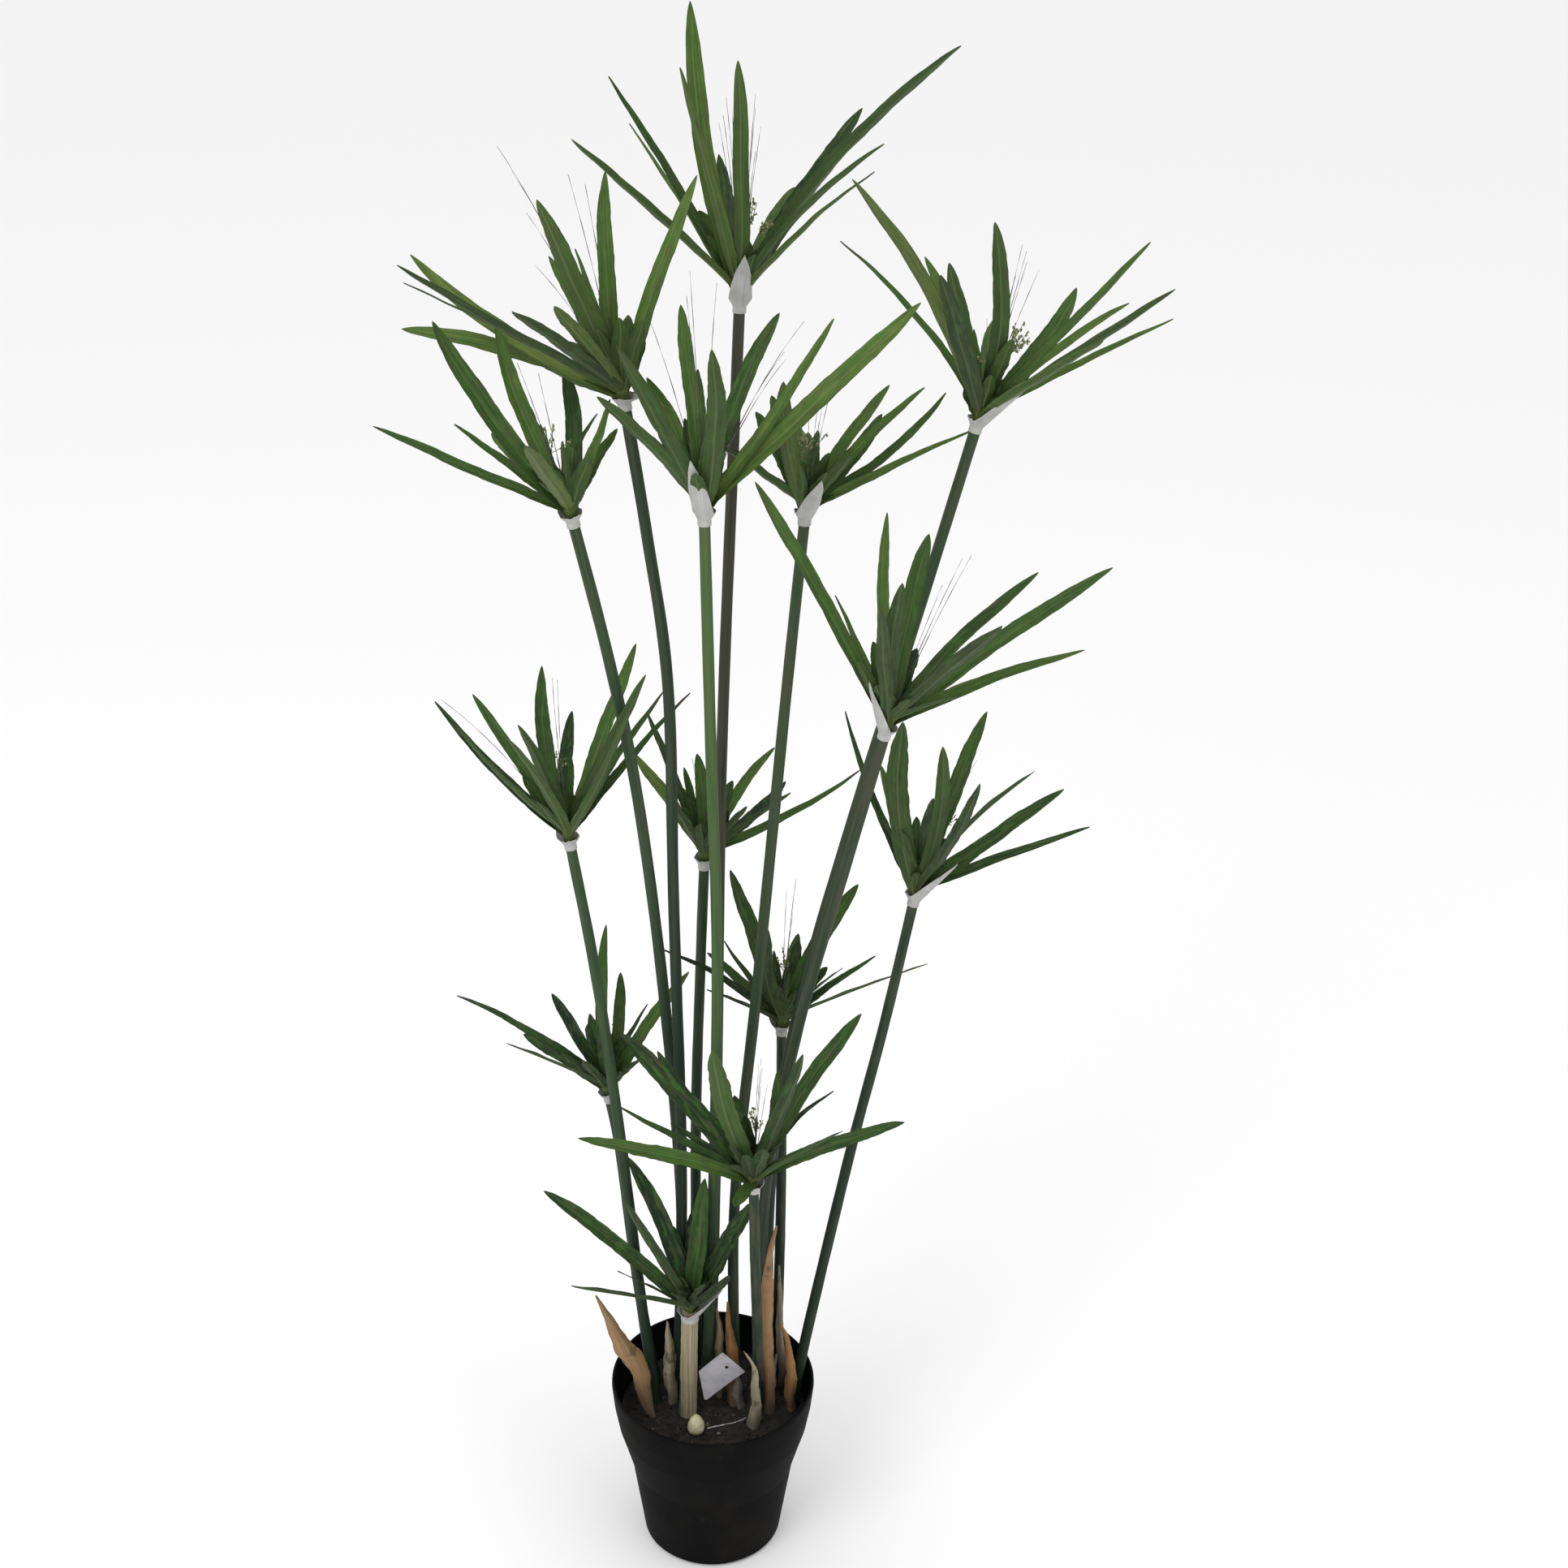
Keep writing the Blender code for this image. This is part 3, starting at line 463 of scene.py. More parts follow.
# Heads: foot of the stem on the soil, its bends, the point where the leaves meet, and from there
# the tips of the sheath's flap, of the leaves and of the bristles. After a leaf's tip come its
# width in millimetres and how far its middle is bent (right, up).
heads = {
    1: dict(
        foot=(-0.2, 4.0), bends=[(0.2, 4.0, 37), (0.5, 4.1, 72)], top=(1.6, 5.0, 107.0),
        flap=(0.3, -2.0, 3.4),
        leaves=[(-3.4, 1, 19.5, 12, -0.7, 0), (-4, -6, 16.5, 9), (-0.3, -6, 17, 9, 0.2, 0.2),
                (-9, 4, 14, 7),
                (-7.8, 9, 9.8, 5), (-11.2, -3, 11.3, 8), (14.5, 0, 17, 10, -1.0, 0.9), (8.5, 7, 11.5, 11),
                (8.5, -5, 13, 11, -0.5, 0.4), (9, -9, 12.5, 7, -0.6, 0.5), (8.5, -8, 10.5, 6, -0.3, 0.3),
                (4, 11, 5, 11), (-1.5, 8, 8)],
        bristles=[(-1, 5, 12.5), (1, 4, 13)]),
    2: dict(
        foot=(-3.0, 1.6), bends=[(-2.6, 0.7, 36), (-3.1, -0.4, 62), (-3.4, -1.1, 80), (-4.8, -1.6, 92)],
        top=(-6.3, -2.0, 102.2), flap=(1.6, -1.2, 0.2),
        leaves=[(-1, 2, 14.5, 10, -0.5, 0), (-5.1, -4, 14, 13), (-5.2, 7, 7.5, 8), (-3.8, -9.5, 8.7, 9),
                (-13.9, 1, 9.1, 10, -0.5, -0.8), (-14, -5, 10, 9, -0.1, -0.2),
                (-9.5, 10, 2.5, 11, -0.5, -0.6),
                (-15, 3, 3.5, 10, 0.1, 0.6), (5, 1, 14.5, 10, -0.3, 0.1), (0, 12, 2, 9),
                (-3.5, 9, 7.5, 7), (-6.3, -11, 8.8), (-13.9, -3, 8.3, 6)],
        bristles=[(-8, 2, 16), (-3.5, 3, 14)]),
    3: dict(
        foot=(4.7, 2.9), bends=[(4.7, 3.1, 34), (6.7, 3.2, 50.4), (10.4, 3.1, 67), (14.0, 3.1, 81.3)],
        top=(18.4, 3.0, 99.1), flap=(3.4, -1.9, 3.2),
        leaves=[(-9.5, -2, 17, 10, 0.9, 0.5), (-9.9, 3, 11.6, 6, 0.6, 0.5), (-3.5, 9, 9, 9, 0.4, 0.2),
                (-4, -9, 12.5, 11), (-3, -4, 12), (0, -3, 14.5, 10, 0.9, 0), (2, 12, 3.5),
                (7.4, 8, 7.1, 12, 0.5, -0.4), (11, 0, 12.5, 7, 0, 0), (11.1, 7, 6.3, 7, -0.3, 0.3),
                (12.4, -3, 10.1, 10, 0, 0), (13.6, 3, 6.3, 6, 0, 0.1), (7, -8, 8)],
        bristles=[(3, 3, 11)]),
    4: dict(
        foot=(-2.6, 3.6),
        bends=[(-2.7, 2.4, 33), (-3.9, 1.2, 52.5), (-5.6, -0.9, 70.4), (-7.5, -2.4, 82.6)],
        top=(-9.9, -4.0, 94.5), flap=(-0.6, 1.4, 0.2),
        leaves=[(-13, 0, 6, 7, 0, 0), (-7.8, 2, 5.5, 7, 0, 0), (-8.7, 0, 13.2, 12, -0.4, -0.3),
                (-4.8, 2, 12.6, 11, -0.4, -0.2), (-0.7, 8, 7.8, 10, 0.5, 0), (1.5, 9, 4, 6, -0.6, 0.2),
                (2.7, 3, 7, 8, 0.1, 0), (3.1, 4, 4.6, 9), (-6, 9, 2.5), (-2, -11, 8.5),
                (-2.3, 6, 4.2, 8, -0.2, 0)],
        bristles=[(-3.5, 3, 9.5)]),
    5: dict(
        foot=(-0.6, 1.8), bends=[(0.0, -0.2, 36), (0.2, -1.9, 58), (-0.3, -3.4, 76)],
        top=(-0.8, -5.0, 95.1), flap=(-0.9, -2.5, 4.4),
        leaves=[(-5.5, -4, 12.5, 12), (-7, -2, 8.5, 12, 0.3, 0.3), (-1.6, 4, 13, 9), (-0.5, 9, 7, 7),
                (0.5, -6, 13, 12, 0.5, 0), (5, 4, 12.5, 10, -0.6, 0.2), (8.5, 1, 13, 9, 0.2, -0.2),
                (14.1, 0, 14.4, 13, 0, 0), (5.5, 6, 4.5), (-4, 7, 7, 10, 0.3, 0.1), (1.5, 4.5, 5),
                (-2, 9, 2.5)],
        bristles=[(-1, 5, 15), (5.5, 5, 9)]),
    6: dict(
        foot=(1.9, 1.9), bends=[(1.7, 1.7, 32), (3.3, 1.5, 53), (5.1, 1.2, 77.6)],
        top=(6.3, 1.0, 92.9), flap=(1.0, -2.0, 2.9),
        leaves=[(-1.8, -4, 10.6, 12, -0.4, 0), (-6.5, -1, 5.4, 9), (6.1, 7, 6.9, 8, -0.3, 0.2),
                (8, 0, 9, 8, -0.2, 0.2), (5.3, 2, 6.4, 10, 0.2, -0.1),
                (10, 5, 7, 7, 0.5, -0.6), (12, 3, 5, 7), (-3.5, 5, 5.5),
                (-0.5, 9, 3.5), (-2.4, 5, 6.7), (0.5, 11, 2)],
        bristles=[(1, 4, 8)]),
    7: dict(
        foot=(4.3, 1.0), bends=[(4.1, -1.3, 35), (6.3, -3.2, 52), (9.0, -4.5, 65)],
        top=(12.1, -6.0, 79.5), flap=(-1.5, -1.5, 4.0),
        leaves=[(-9.5, 0, 18, 9, 0.2, 0.1), (-3.5, 8, 6.5, 6), (-0.5, 1, 15.5, 8, -0.3, 0),
                (0, -8, 14, 10, -0.3, 0), (2.6, 3, 13.2, 12, -0.2, 0), (10.5, 4, 10, 8, -0.4, 0.4),
                (15, 0, 12, 10, -0.2, 0.3), (6.5, -9, 11.5, 11), (14, 3, 4.5, 7, -0.2, 0.4),
                (10.6, 8, 1.3, 6), (-1.3, -8, 12, 9), (4.6, -4, 4.2, 8)],
        bristles=[(5.5, 2, 12)]),
    8: dict(
        foot=(-4.8, 1.2), bends=[(-5.9, 1.0, 22), (-7.5, 0.6, 40), (-9.1, 0.3, 55)],
        top=(-10.9, 0.0, 67.4), flap=(-0.8, 1.2, 0.2),
        leaves=[(-9.5, 1, 10.5, 8, -0.3, -0.3), (-7.3, 6, 8.8, 7, -0.1, 0.1), (-3.5, -8, 12, 9, 0.3, 0.2),
                (-3, -5, 11.5, 9, 0.3, 0.1), (-1.8, 3, 12.5, 10, -0.7, 0), (0, 8, 6.5, 9, -0.4, 0),
                (5, 6, 13, 9), (6, -4, 15), (5, -8, 14, 8, 0.2, -0.1), (7, 5, 9.5, 7),
                (9, 7, 8.5, 7, -0.2, 0.2), (-7.5, -4, 11, 8, -0.3, -0.3)],
        bristles=[(-1, 2, 12)]),
    9: dict(
        foot=(-1.4, 5.6), bends=[(-1.5, 6.0, 36), (-1.1, 6.2, 53)],
        top=(-0.8, 6.2, 62.3), flap=(0.4, 1.4, 0.1),
        leaves=[(-4.5, 5, 10, 7), (-5.5, 3, 7.4, 8), (-1.6, 2, 6.7, 7), (-0.6, 2, 7.9, 9, 0.2, 0),
                (5.5, 6, 6.5, 8, -0.5, 0.3), (6.5, 9, 2, 8, 0.3, -0.2), (6.6, -1, 6.1, 10, -0.2, 0.1),
                (12, 2, 6.5, 7, 0.3, -0.4), (0.5, 9, 3), (-2, 9, 1.5)],
        bristles=[]),
    10: dict(
        foot=(6.9, 0.6), bends=[(7.6, 0.9, 18), (10.9, 1.8, 36.6), (13.4, 2.5, 49)],
        top=(15.5, 3.0, 60.9), flap=(2.9, -2.0, 3.6),
        leaves=[(-5.7, 3, 14, 7, -0.4, -0.1), (-2.5, 8, 7, 8), (-1.8, -3, 16, 14, -0.8, 0),
                (1, -5, 15, 10, 0.7, 0), (5.3, 5, 13.1, 11, -0.2, 0), (3.5, -8, 13.5, 9, 0.3, -0.2),
                (8.5, 0, 10.5, 10, -0.6, 0.6), (11, 1, 8.5, 10, 0, 0), (9, 9, 2.5, 8, 0.3, -0.2),
                (13.4, 2, 4.7, 7, 0, 0.1), (2, 10, 3)],
        bristles=[(4.5, 5, 11)]),
    11: dict(
        foot=(5.4, 3.9), bends=[(5.6, 4.6, 30)], top=(5.4, 5.0, 47.8), flap=(-0.8, 1.2, 0.2),
        leaves=[(-4.2, 1, 13.4, 12, 0.1, 0), (-4.6, 7, 3.4, 6, -0.2, 0), (-9.6, 0.2, 6.7, 7, 0.3, 0.5),
                (-6, 5, 3.5, 7), (-6, -3, 4.9, 7), (-1.5, -2.2, 10.4, 12, -0.6, 0),
                (6, 3, 11, 11, -0.5, 0.3),
                (4.7, -0.5, 5.4, 7), (7.5, 2, 5, 7), (11.5, 0, 5.5, 7), (1.5, 8, 3.5), (2.5, 9, 0.5)],
        bristles=[(1, 2, 12)]),
    12: dict(
        foot=(-4.9, 3.2), bends=[(-6.4, 3.0, 24), (-7.6, 2.6, 37)], top=(-8.5, 2.4, 43.1),
        flap=(0.2, 1.4, 0.2),
        leaves=[(-11.6, 0, 8.8, 7, 0.4, 0.7), (-7.5, -4, 7, 7), (-7, 5, 2, 10, 0.2, 0.3),
                (-4.6, 5, 5.9, 8),
                (-0.3, -1, 7.2, 9), (0, 3, 13.5, 8, -0.4, 0), (1, 4, 8.5, 8, 0.3, 0),
                (3, 8, 3, 6, -0.2, 0.1),
                (6.5, 2, 9.8, 9, -0.2, 0.2), (-2, 9, 0.5), (2.8, -1, 3.7)],
        bristles=[]),
    13: dict(
        foot=(3.2, -0.6), bends=[(3.7, -1.8, 18.7), (3.3, -4.5, 32.5)], top=(3.1, -6.0, 40.3),
        flap=(-0.4, 1.2, 0.1),
        leaves=[(-13.5, 0, 4, 10, 0.1, 0.4), (-10.5, 3, 4.9, 7, -0.1, 0), (-10, 0, 13.5, 14, 0.2, 0.2),
                (-7.5, 5, 8.7, 9, -0.4, -0.3), (-6.5, 4, 2.6, 7), (-3.2, -3, 14, 15, -0.4, -0.1),
                (3.5, -2, 13, 13), (8.1, 3, 13.4, 11, -0.4, 0.3), (1.8, 2, 9, 8, 0.5, 0),
                (6.4, 7, 3.6, 6, -0.5, 0.5), (6.5, -4, 7.5, 8), (11.5, 0, 5.5, 9, -0.1, 0.4),
                (-1.5, -6, 2), (-1.5, 6.5, 3.5)],
        bristles=[(0.5, 2, 10)]),
    14: dict(
        foot=(-2.1, -0.6), bends=[], top=(-1.9, -1.0, 23.8), flap=(2.7, -0.6, 2.5),
        leaves=[(-11.7, 0, 11.9, 10, 0.3, 0.3), (-9.6, -2, 4, 12, 0, 0.2), (-5.9, -0.2, 4, 6),
                (-5.2, -0.3, 11.1, 12, 0, 0), (-5, 0.3, 15, 12, 0.6, 0.2), (1.2, 0, 13.1, 13),
                (5, 0, 10.7, 13), (3.1, -3, 5.8, 15, 0.2, -0.2), (-1.5, 1, 7.7, 11), (0.3, 2, 8.5, 11)],
        bristles=[]),
}


# Stems

stem = {"spans": 6, "rows": 110, "sides": 20, "radii": (4.6, 4.0), "stalkRadii": (7.2, 6.6),
        "soil": 12.4, "sunk": 1.94, "hub": 13.0, "gap": 0.3, "ridges": 11, "ridge": 0.03,
        "stalkRidge": 0.07, "wobble": 0.03, "darker": 0.07, "footPaintedShade": 0.32, "footShadeEnds": 0.8,
        "tones": (0.40, 0.45, 0.55, 0.55, 0.80, 0.62, 0.50, 0.60, 0.50, 0.45, 0.40, 0.45, 0.45, 0.50),
        "warmth": (0.45, 0.22, 0.25, 0.20, 0.12, 0.30, 0.30, 0.15, 0.20, 0.20, 0.25, 0.20, 0.30, 0.20)}


def stemLine(head, count):
    # The curve through the sunk foot, the foot on the soil, the bends and the top
    foot = np.array([*head["foot"], stem["soil"]])
    later = [np.array(p, float) for p in head["bends"] + [head["top"]]]
    sunk = foot - unit(later[0] - foot) * stem["sunk"]
    return curveThrough([sunk, foot] + later, count) * cm


def headAxis(head):
    line = stemLine(head, stem["spans"] + 1)
    return unit(line[-1] - line[-2])


def makeStem(number, head, material):
    # Radius falls evenly from foot to top, with lengthwise ridges and a slow wobble; the tone
    # is the stem's own, with painted shade that darkens it towards the foot
    rng = np.random.default_rng(100 + number)
    thick = number == len(heads)
    line = stemLine(head, stem["rows"])
    line[-1] -= headAxis(head) * (stem["hub"] / 2 + stem["gap"]) * mm
    up = np.linspace(0, 1, len(line))
    turn = np.linspace(0, 2 * np.pi, stem["sides"], endpoint=False)
    low, high = stem["stalkRadii"] if thick else stem["radii"]
    radius = (low + (high - low) * up) * (1 + stem["wobble"] * ripple(up, rng, (3, 7, 13)))
    depth = stem["stalkRidge"] if thick else stem["ridge"]
    ridge = 1 + depth * np.cos(stem["ridges"] * turn + rng.random() * 6)
    tone = stem["tones"][number - 1] - stem["darker"]
    # painted shade: the stem's tone darkens towards its foot, low among the crowns
    tone = tone - stem["footPaintedShade"] * (1 - smooth(up / stem["footShadeEnds"]))
    shape = tube(line, radius[:, None] * ridge * mm, stem["sides"], upper=(0, -1, 0), up=up,
                 cosine=np.cos(turn)[None], sine=np.sin(turn)[None], tone=tone,
                 warm=stem["warmth"][number - 1] - 0.1 * (1 - up), seed=number / len(heads))
    name = f"stem_{number:02d}"
    return addPiece(name + "_skin", [shape], material, [name])


# Leaves

leaf = {"rows": 44, "across": (0, 0.06, 0.15, 0.35, 0.6, 0.82, 1), "thick": 0.45, "wider": 1.17,
        "base": 0.76, "widest": 0.3, "fold": 0.34, "rib": 0.3, "twist": 0.13, "tail": 9.0,
        "tiers": (7.5, 10.5), "plainWidth": 10, "plainBend": (0, 0.2), "rag": (0.03, 0.10),
        "shadedLowTone": 0.10, "litHighTone": 0.62, "shadeRampTop": 110, "toneSpread": 0.19}


def leafStart(head, axis, number):
    return np.array(head["top"]) * cm + axis * (leaf["tiers"][number % 2] - stem["hub"] / 2) * mm


def leafLine(start, tip, bend, t):
    # A parabola: the straight way from start to tip, plus the bend times 4t(1 - t)
    side = np.array([bend[0], 0, bend[1]]) * cm
    return start + (tip - start) * t[:, None] + side * (4 * t * (1 - t))[:, None]


def leafUpper(way):
    # Up, turned to the viewer's side and a little back to the stem
    outward = np.array([way[0], way[1], 0])
    facing = np.array([0, -0.9 if way[1] >= 0 else 0.9, 1.0])
    return facing - outward / (np.linalg.norm(outward) + 1e-9) * 0.3


def makeLeaf(start, tip, bend, width, tone, tipShare, rng):
    # Half width rises smoothly from the hub and falls to the tip as (1 - t^p)^0.75, or on a narrow
    # leaf as a straight taper to a thread; the section is a shallow V with a raised rib, closed up
    # at the hub and turned slowly along the leaf; the edges waver
    s = np.linspace(0, 1, leaf["rows"])
    t = 1 - (1 - s) ** 1.25
    u = np.concatenate([-np.array(leaf["across"][:0:-1]), leaf["across"]])
    line = leafLine(start, tip, bend, t)
    along, normal, across = carried(line, leafUpper(tip - start))
    twist = leaf["twist"] * (rng.normal() * t + 0.5 * ripple(t, rng, (0.7, 1.6)))
    normal, across = twisted(normal, across, twist)
    line = line + across * (ripple(t, rng, (0.8, 1.9)) * t * (1 - t) * 3 * mm)[:, None]
    swell = leaf["base"] + (1 - leaf["base"]) * smooth(t / leaf["widest"])
    half = width * leaf["wider"] / 2 * mm * swell
    blunt = np.clip(1 - t ** rng.uniform(5, 8), 0, 1) ** 0.75
    tapered = np.clip(1.15 - 1.1 * t, 0, 1) ** 0.8
    tail = float(smooth((leaf["tail"] - width + rng.normal() * 0.8) / 3))
    half = half * (blunt * (1 - tail) + tapered * tail) + 0.12 * mm
    rag = rng.uniform(*leaf["rag"])
    edges = [1 + rag * ripple(t, rng, (2, 5, 9)) + rag / 2 * ripple(t, rng, (13, 21))
             for _ in range(2)]
    wide = np.where(u < 0, edges[0][:, None], edges[1][:, None]) * half[:, None]
    fold = leaf["fold"] * half * (1 + 1.6 * np.exp(-t / 0.07))
    lift = fold[:, None] * (np.abs(u) ** 1.15 - 1)
    wave = ripple(t, rng, (2, 4.5))[:, None] * u**2 * 0.5 * mm
    grid = line[:, None] + across[:, None] * (wide * u)[..., None]
    grid = grid + normal[:, None] * (lift + wave)[..., None]
    slope = np.sign(u) * np.minimum(fold / half, 0.8)[:, None]
    normals = unit(normal[:, None] - across[:, None] * slope[..., None])
    rib = leaf["rib"] * mm * np.exp(-(u / 0.09)**2) * np.minimum(1, half / (3 * mm))[:, None]
    thick = leaf["thick"] * mm * (1 - 0.6 * np.abs(u) ** 3) + 2 * rib
    return shell(grid, normals, thick, across=u, along=t[:, None], tone=tone, tip=tipShare,
                 seed=rng.random())


hub = {"rows": 12, "sides": 14, "radius": 3.7, "swell": 1.1, "neck": 2.4}


def makeHub(head, axis):
    # A short bar on the stem's axis that swells to a collar where the leaves leave it
    s = np.linspace(-0.5, 0.5, hub["rows"])
    line = np.array(head["top"]) * cm + axis * (s * stem["hub"] * mm)[:, None]
    radii = hub["radius"] + hub["swell"] * smooth((s + 0.5) / 0.7)
    radii = (radii - hub["neck"] * smooth((s - 0.25) / 0.25)) * mm
    return tube(line, radii, hub["sides"], upper=(0, -1, 0), across=0.5, along=0.05, tone=0.45,
                tip=0, seed=0.3, under=0.3)


bract = {"count": 10, "length": (2.4, 6.4), "width": (7, 11), "lean": (0.25, 0.85), "darker": 0.08,
         "bend": (0, 0.15)}


def makeCrown(number, head):
    # Hub, leaves, and a ring of short bracts that fills the funnel between the leaves' feet;
    # the low crowns are painted darker than the high ones, as painted shade for the light that falls off
    # lower down
    rng = np.random.default_rng(number)
    axis = headAxis(head)
    shapes = [makeHub(head, axis)]
    # painted shade: each crown's tone rises with the height of its top, so low crowns are darker
    share = smooth(head["top"][2] / leaf["shadeRampTop"])
    height = leaf["shadedLowTone"] + (leaf["litHighTone"] - leaf["shadedLowTone"]) * share
    for i, tipPlace in enumerate(head["leaves"]):
        start = leafStart(head, axis, i)
        tip = (np.array(head["top"]) + np.array(tipPlace[:3])) * cm
        width = tipPlace[3] if len(tipPlace) > 3 else leaf["plainWidth"]
        bend = tipPlace[4:] if len(tipPlace) > 4 else leaf["plainBend"]
        tone = height + leaf["toneSpread"] * rng.normal()
        browned = rng.uniform(-0.1, 0.02) + 0.12 * smooth((leaf["tail"] - width) / 3)
        shapes.append(makeLeaf(start, tip, bend, width, tone, browned, rng))
    first = unit(np.cross(axis, [0, 1, 0]))
    for k in range(bract["count"]):
        turn = 2 * np.pi * (k + rng.uniform(-0.3, 0.3)) / bract["count"]
        side = first * np.cos(turn) + np.cross(axis, first) * np.sin(turn)
        way = unit(axis + side * rng.uniform(*bract["lean"])) * rng.uniform(*bract["length"]) * cm
        start = leafStart(head, axis, k)
        shapes.append(makeLeaf(start, start + way, bract["bend"], rng.uniform(*bract["width"]),
                               height - bract["darker"], rng.uniform(-0.08, 0.04), rng))
    name = f"crown_{number:02d}"
    return addPiece(name + "_leaves", shapes, leafGreen, [name])


# Hairs and seed sprays that rise out of the whorls: their tips, from the point where the leaves meet

sprays = {
    1: dict(hairs=[(-1.5, 5, 10.8), (-0.6, 5, 11.6), (-1.2, 4, 11.5), (1.4, 4, 10.8), (1.0, 2, 9.5),
                   (1, 4, 12)],
            seeds=[(0.8, 2, 5.6), (1.8, 3, 4.6)]),
    2: dict(hairs=[(-7.2, 3, 14.2), (-6.4, 4, 11.2), (-2.4, 3, 13.4),
                   (-5.8, 2, 8.2)], seeds=[(-1.6, 4, 5.2)]),
    3: dict(hairs=[(2.8, 4, 11.2), (3.2, 4, 10), (4.1, 4, 9.5), (2.2, 2, 9.5), (0.5, 3, 6.2)],
            seeds=[(2.8, 3, 5.6), (3.2, 4, 4.8), (0.8, 3, 3.8)]),
    4: dict(hairs=[(-3.4, 2, 8.8), (-2.1, 3, 8.8), (-3.2, 3, 7)], seeds=[(-1.8, 3, 4.4), (-2.2, 2, 5)]),
    5: dict(hairs=[(-3.8, 3, 12.6), (-1.2, 4, 13.6), (0.8, 5, 14.2), (4.8, 4, 12), (5.4, 5, 9.5),
                   (6.6, 3, 12.2)],
            seeds=[(0, 3, 5.4), (0.6, 5, 4.6)]),
    6: dict(hairs=[(1.8, 3, 8.2), (1.1, 3, 6.4), (0.2, 4, 7.2)], seeds=[(-0.5, 3, 4), (0.2, 3, 4.4)]),
    7: dict(hairs=[(5, 3, 11.4), (3.8, 4, 9)], seeds=[(0.6, 5, 4.6)]),
    8: dict(hairs=[(-0.7, 3, 11.4), (-9.2, 2, 10.2), (-2.4, 4, 9)], seeds=[(-1, 4, 4.8)]),
    9: dict(hairs=[(-1, 3, 7), (1.2, 2, 6.5)], seeds=[(0.8, 3, 3.8)]),
    10: dict(hairs=[(4.4, 3, 10.8), (3.8, 3, 8.5), (4.6, 4, 9.4), (3.4, 5, 7.6)], seeds=[(2.8, 4, 5.2)]),
    11: dict(hairs=[(0.3, 3, 10.6), (1, 3, 11.2), (0.8, 2, 9)], seeds=[(0.9, 3, 3.6), (0.4, 3, 4.2)]),
    12: dict(hairs=[(0.8, 2, 6.8), (-1, 3, 6)], seeds=[(0.6, 3, 3.4)]),
    13: dict(hairs=[(0.3, 2, 9.4), (1, 2, 7.6), (0.6, 3, 8.4)], seeds=[(0.2, 3, 3.8)]),
}
spray = {"hair": 0.4, "hairRows": 22, "stalk": 0.45, "twigs": 6, "fan": 0.45, "twig": 1.5, "thin": 0.25,
         "beads": 9, "bead": 0.75}


def ball():
    # Twelve corners and twenty faces of a golden-ratio solid of radius 1
    g = (1 + 5**0.5) / 2
    corners = unit(np.array([(-1, g, 0), (1, g, 0), (-1, -g, 0), (1, -g, 0), (0, -1, g), (0, 1, g),
                             (0, -1, -g), (0, 1, -g), (g, 0, -1), (g, 0, 1), (-g, 0, -1), (-g, 0, 1)]))
    return corners, np.array([
        (0, 11, 5), (0, 5, 1), (0, 1, 7), (0, 7, 10), (0, 10, 11), (1, 5, 9), (5, 11, 4), (11, 10, 2),
        (10, 7, 6), (7, 1, 8), (3, 9, 4), (3, 4, 2), (3, 2, 6), (3, 6, 8), (3, 8, 9), (4, 9, 5),
        (2, 4, 11), (6, 2, 10), (8, 6, 7), (9, 8, 1)])


def manyBalls(centres, sizes, rough, rng, **attributes):
    # One ball at each centre, its corners moved in or out by the given roughness
    corners, faces = ball()
    count = len(centres)
    jitter = 1 + rough * rng.normal(size=(count, 12, 1))
    points = (corners * jitter * sizes[:, None] + centres[:, None]).reshape(-1, 3)
    every = (faces[None] + 12 * np.arange(count)[:, None, None]).reshape(-1, 3)
    return points, [every], {key: np.repeat(value, 12) for key, value in attributes.items()}


def sprayLine(head, axis, tip, rows):
    # A parabola that leaves the hub along its axis and ends at the tip
    t = np.linspace(0, 1, rows)[:, None]
    start = np.array(head["top"]) * cm + axis * 4 * mm
    way = (np.array(head["top"]) + np.array(tip)) * cm - start
    return start + axis * np.linalg.norm(way) * 0.3 * t * (1 - t) + way * t


def makeHairs(number, head):
    # Thin bars that narrow towards the tip and waver in thickness
    rng = np.random.default_rng(400 + number)
    axis = headAxis(head)
    shapes = []
    for tip in head["bristles"] + sprays[number]["hairs"]:
        line = sprayLine(head, axis, tip, spray["hairRows"])
        t = np.linspace(0, 1, len(line))
        radii = spray["hair"] * mm * (1 - 0.55 * t) * (0.75 + 0.5 * ripple(t, rng, (3, 7)))
        shapes.append(tube(line, radii, 4))
    return addPiece(f"crown_{number:02d}_hairs", shapes, hairDark)


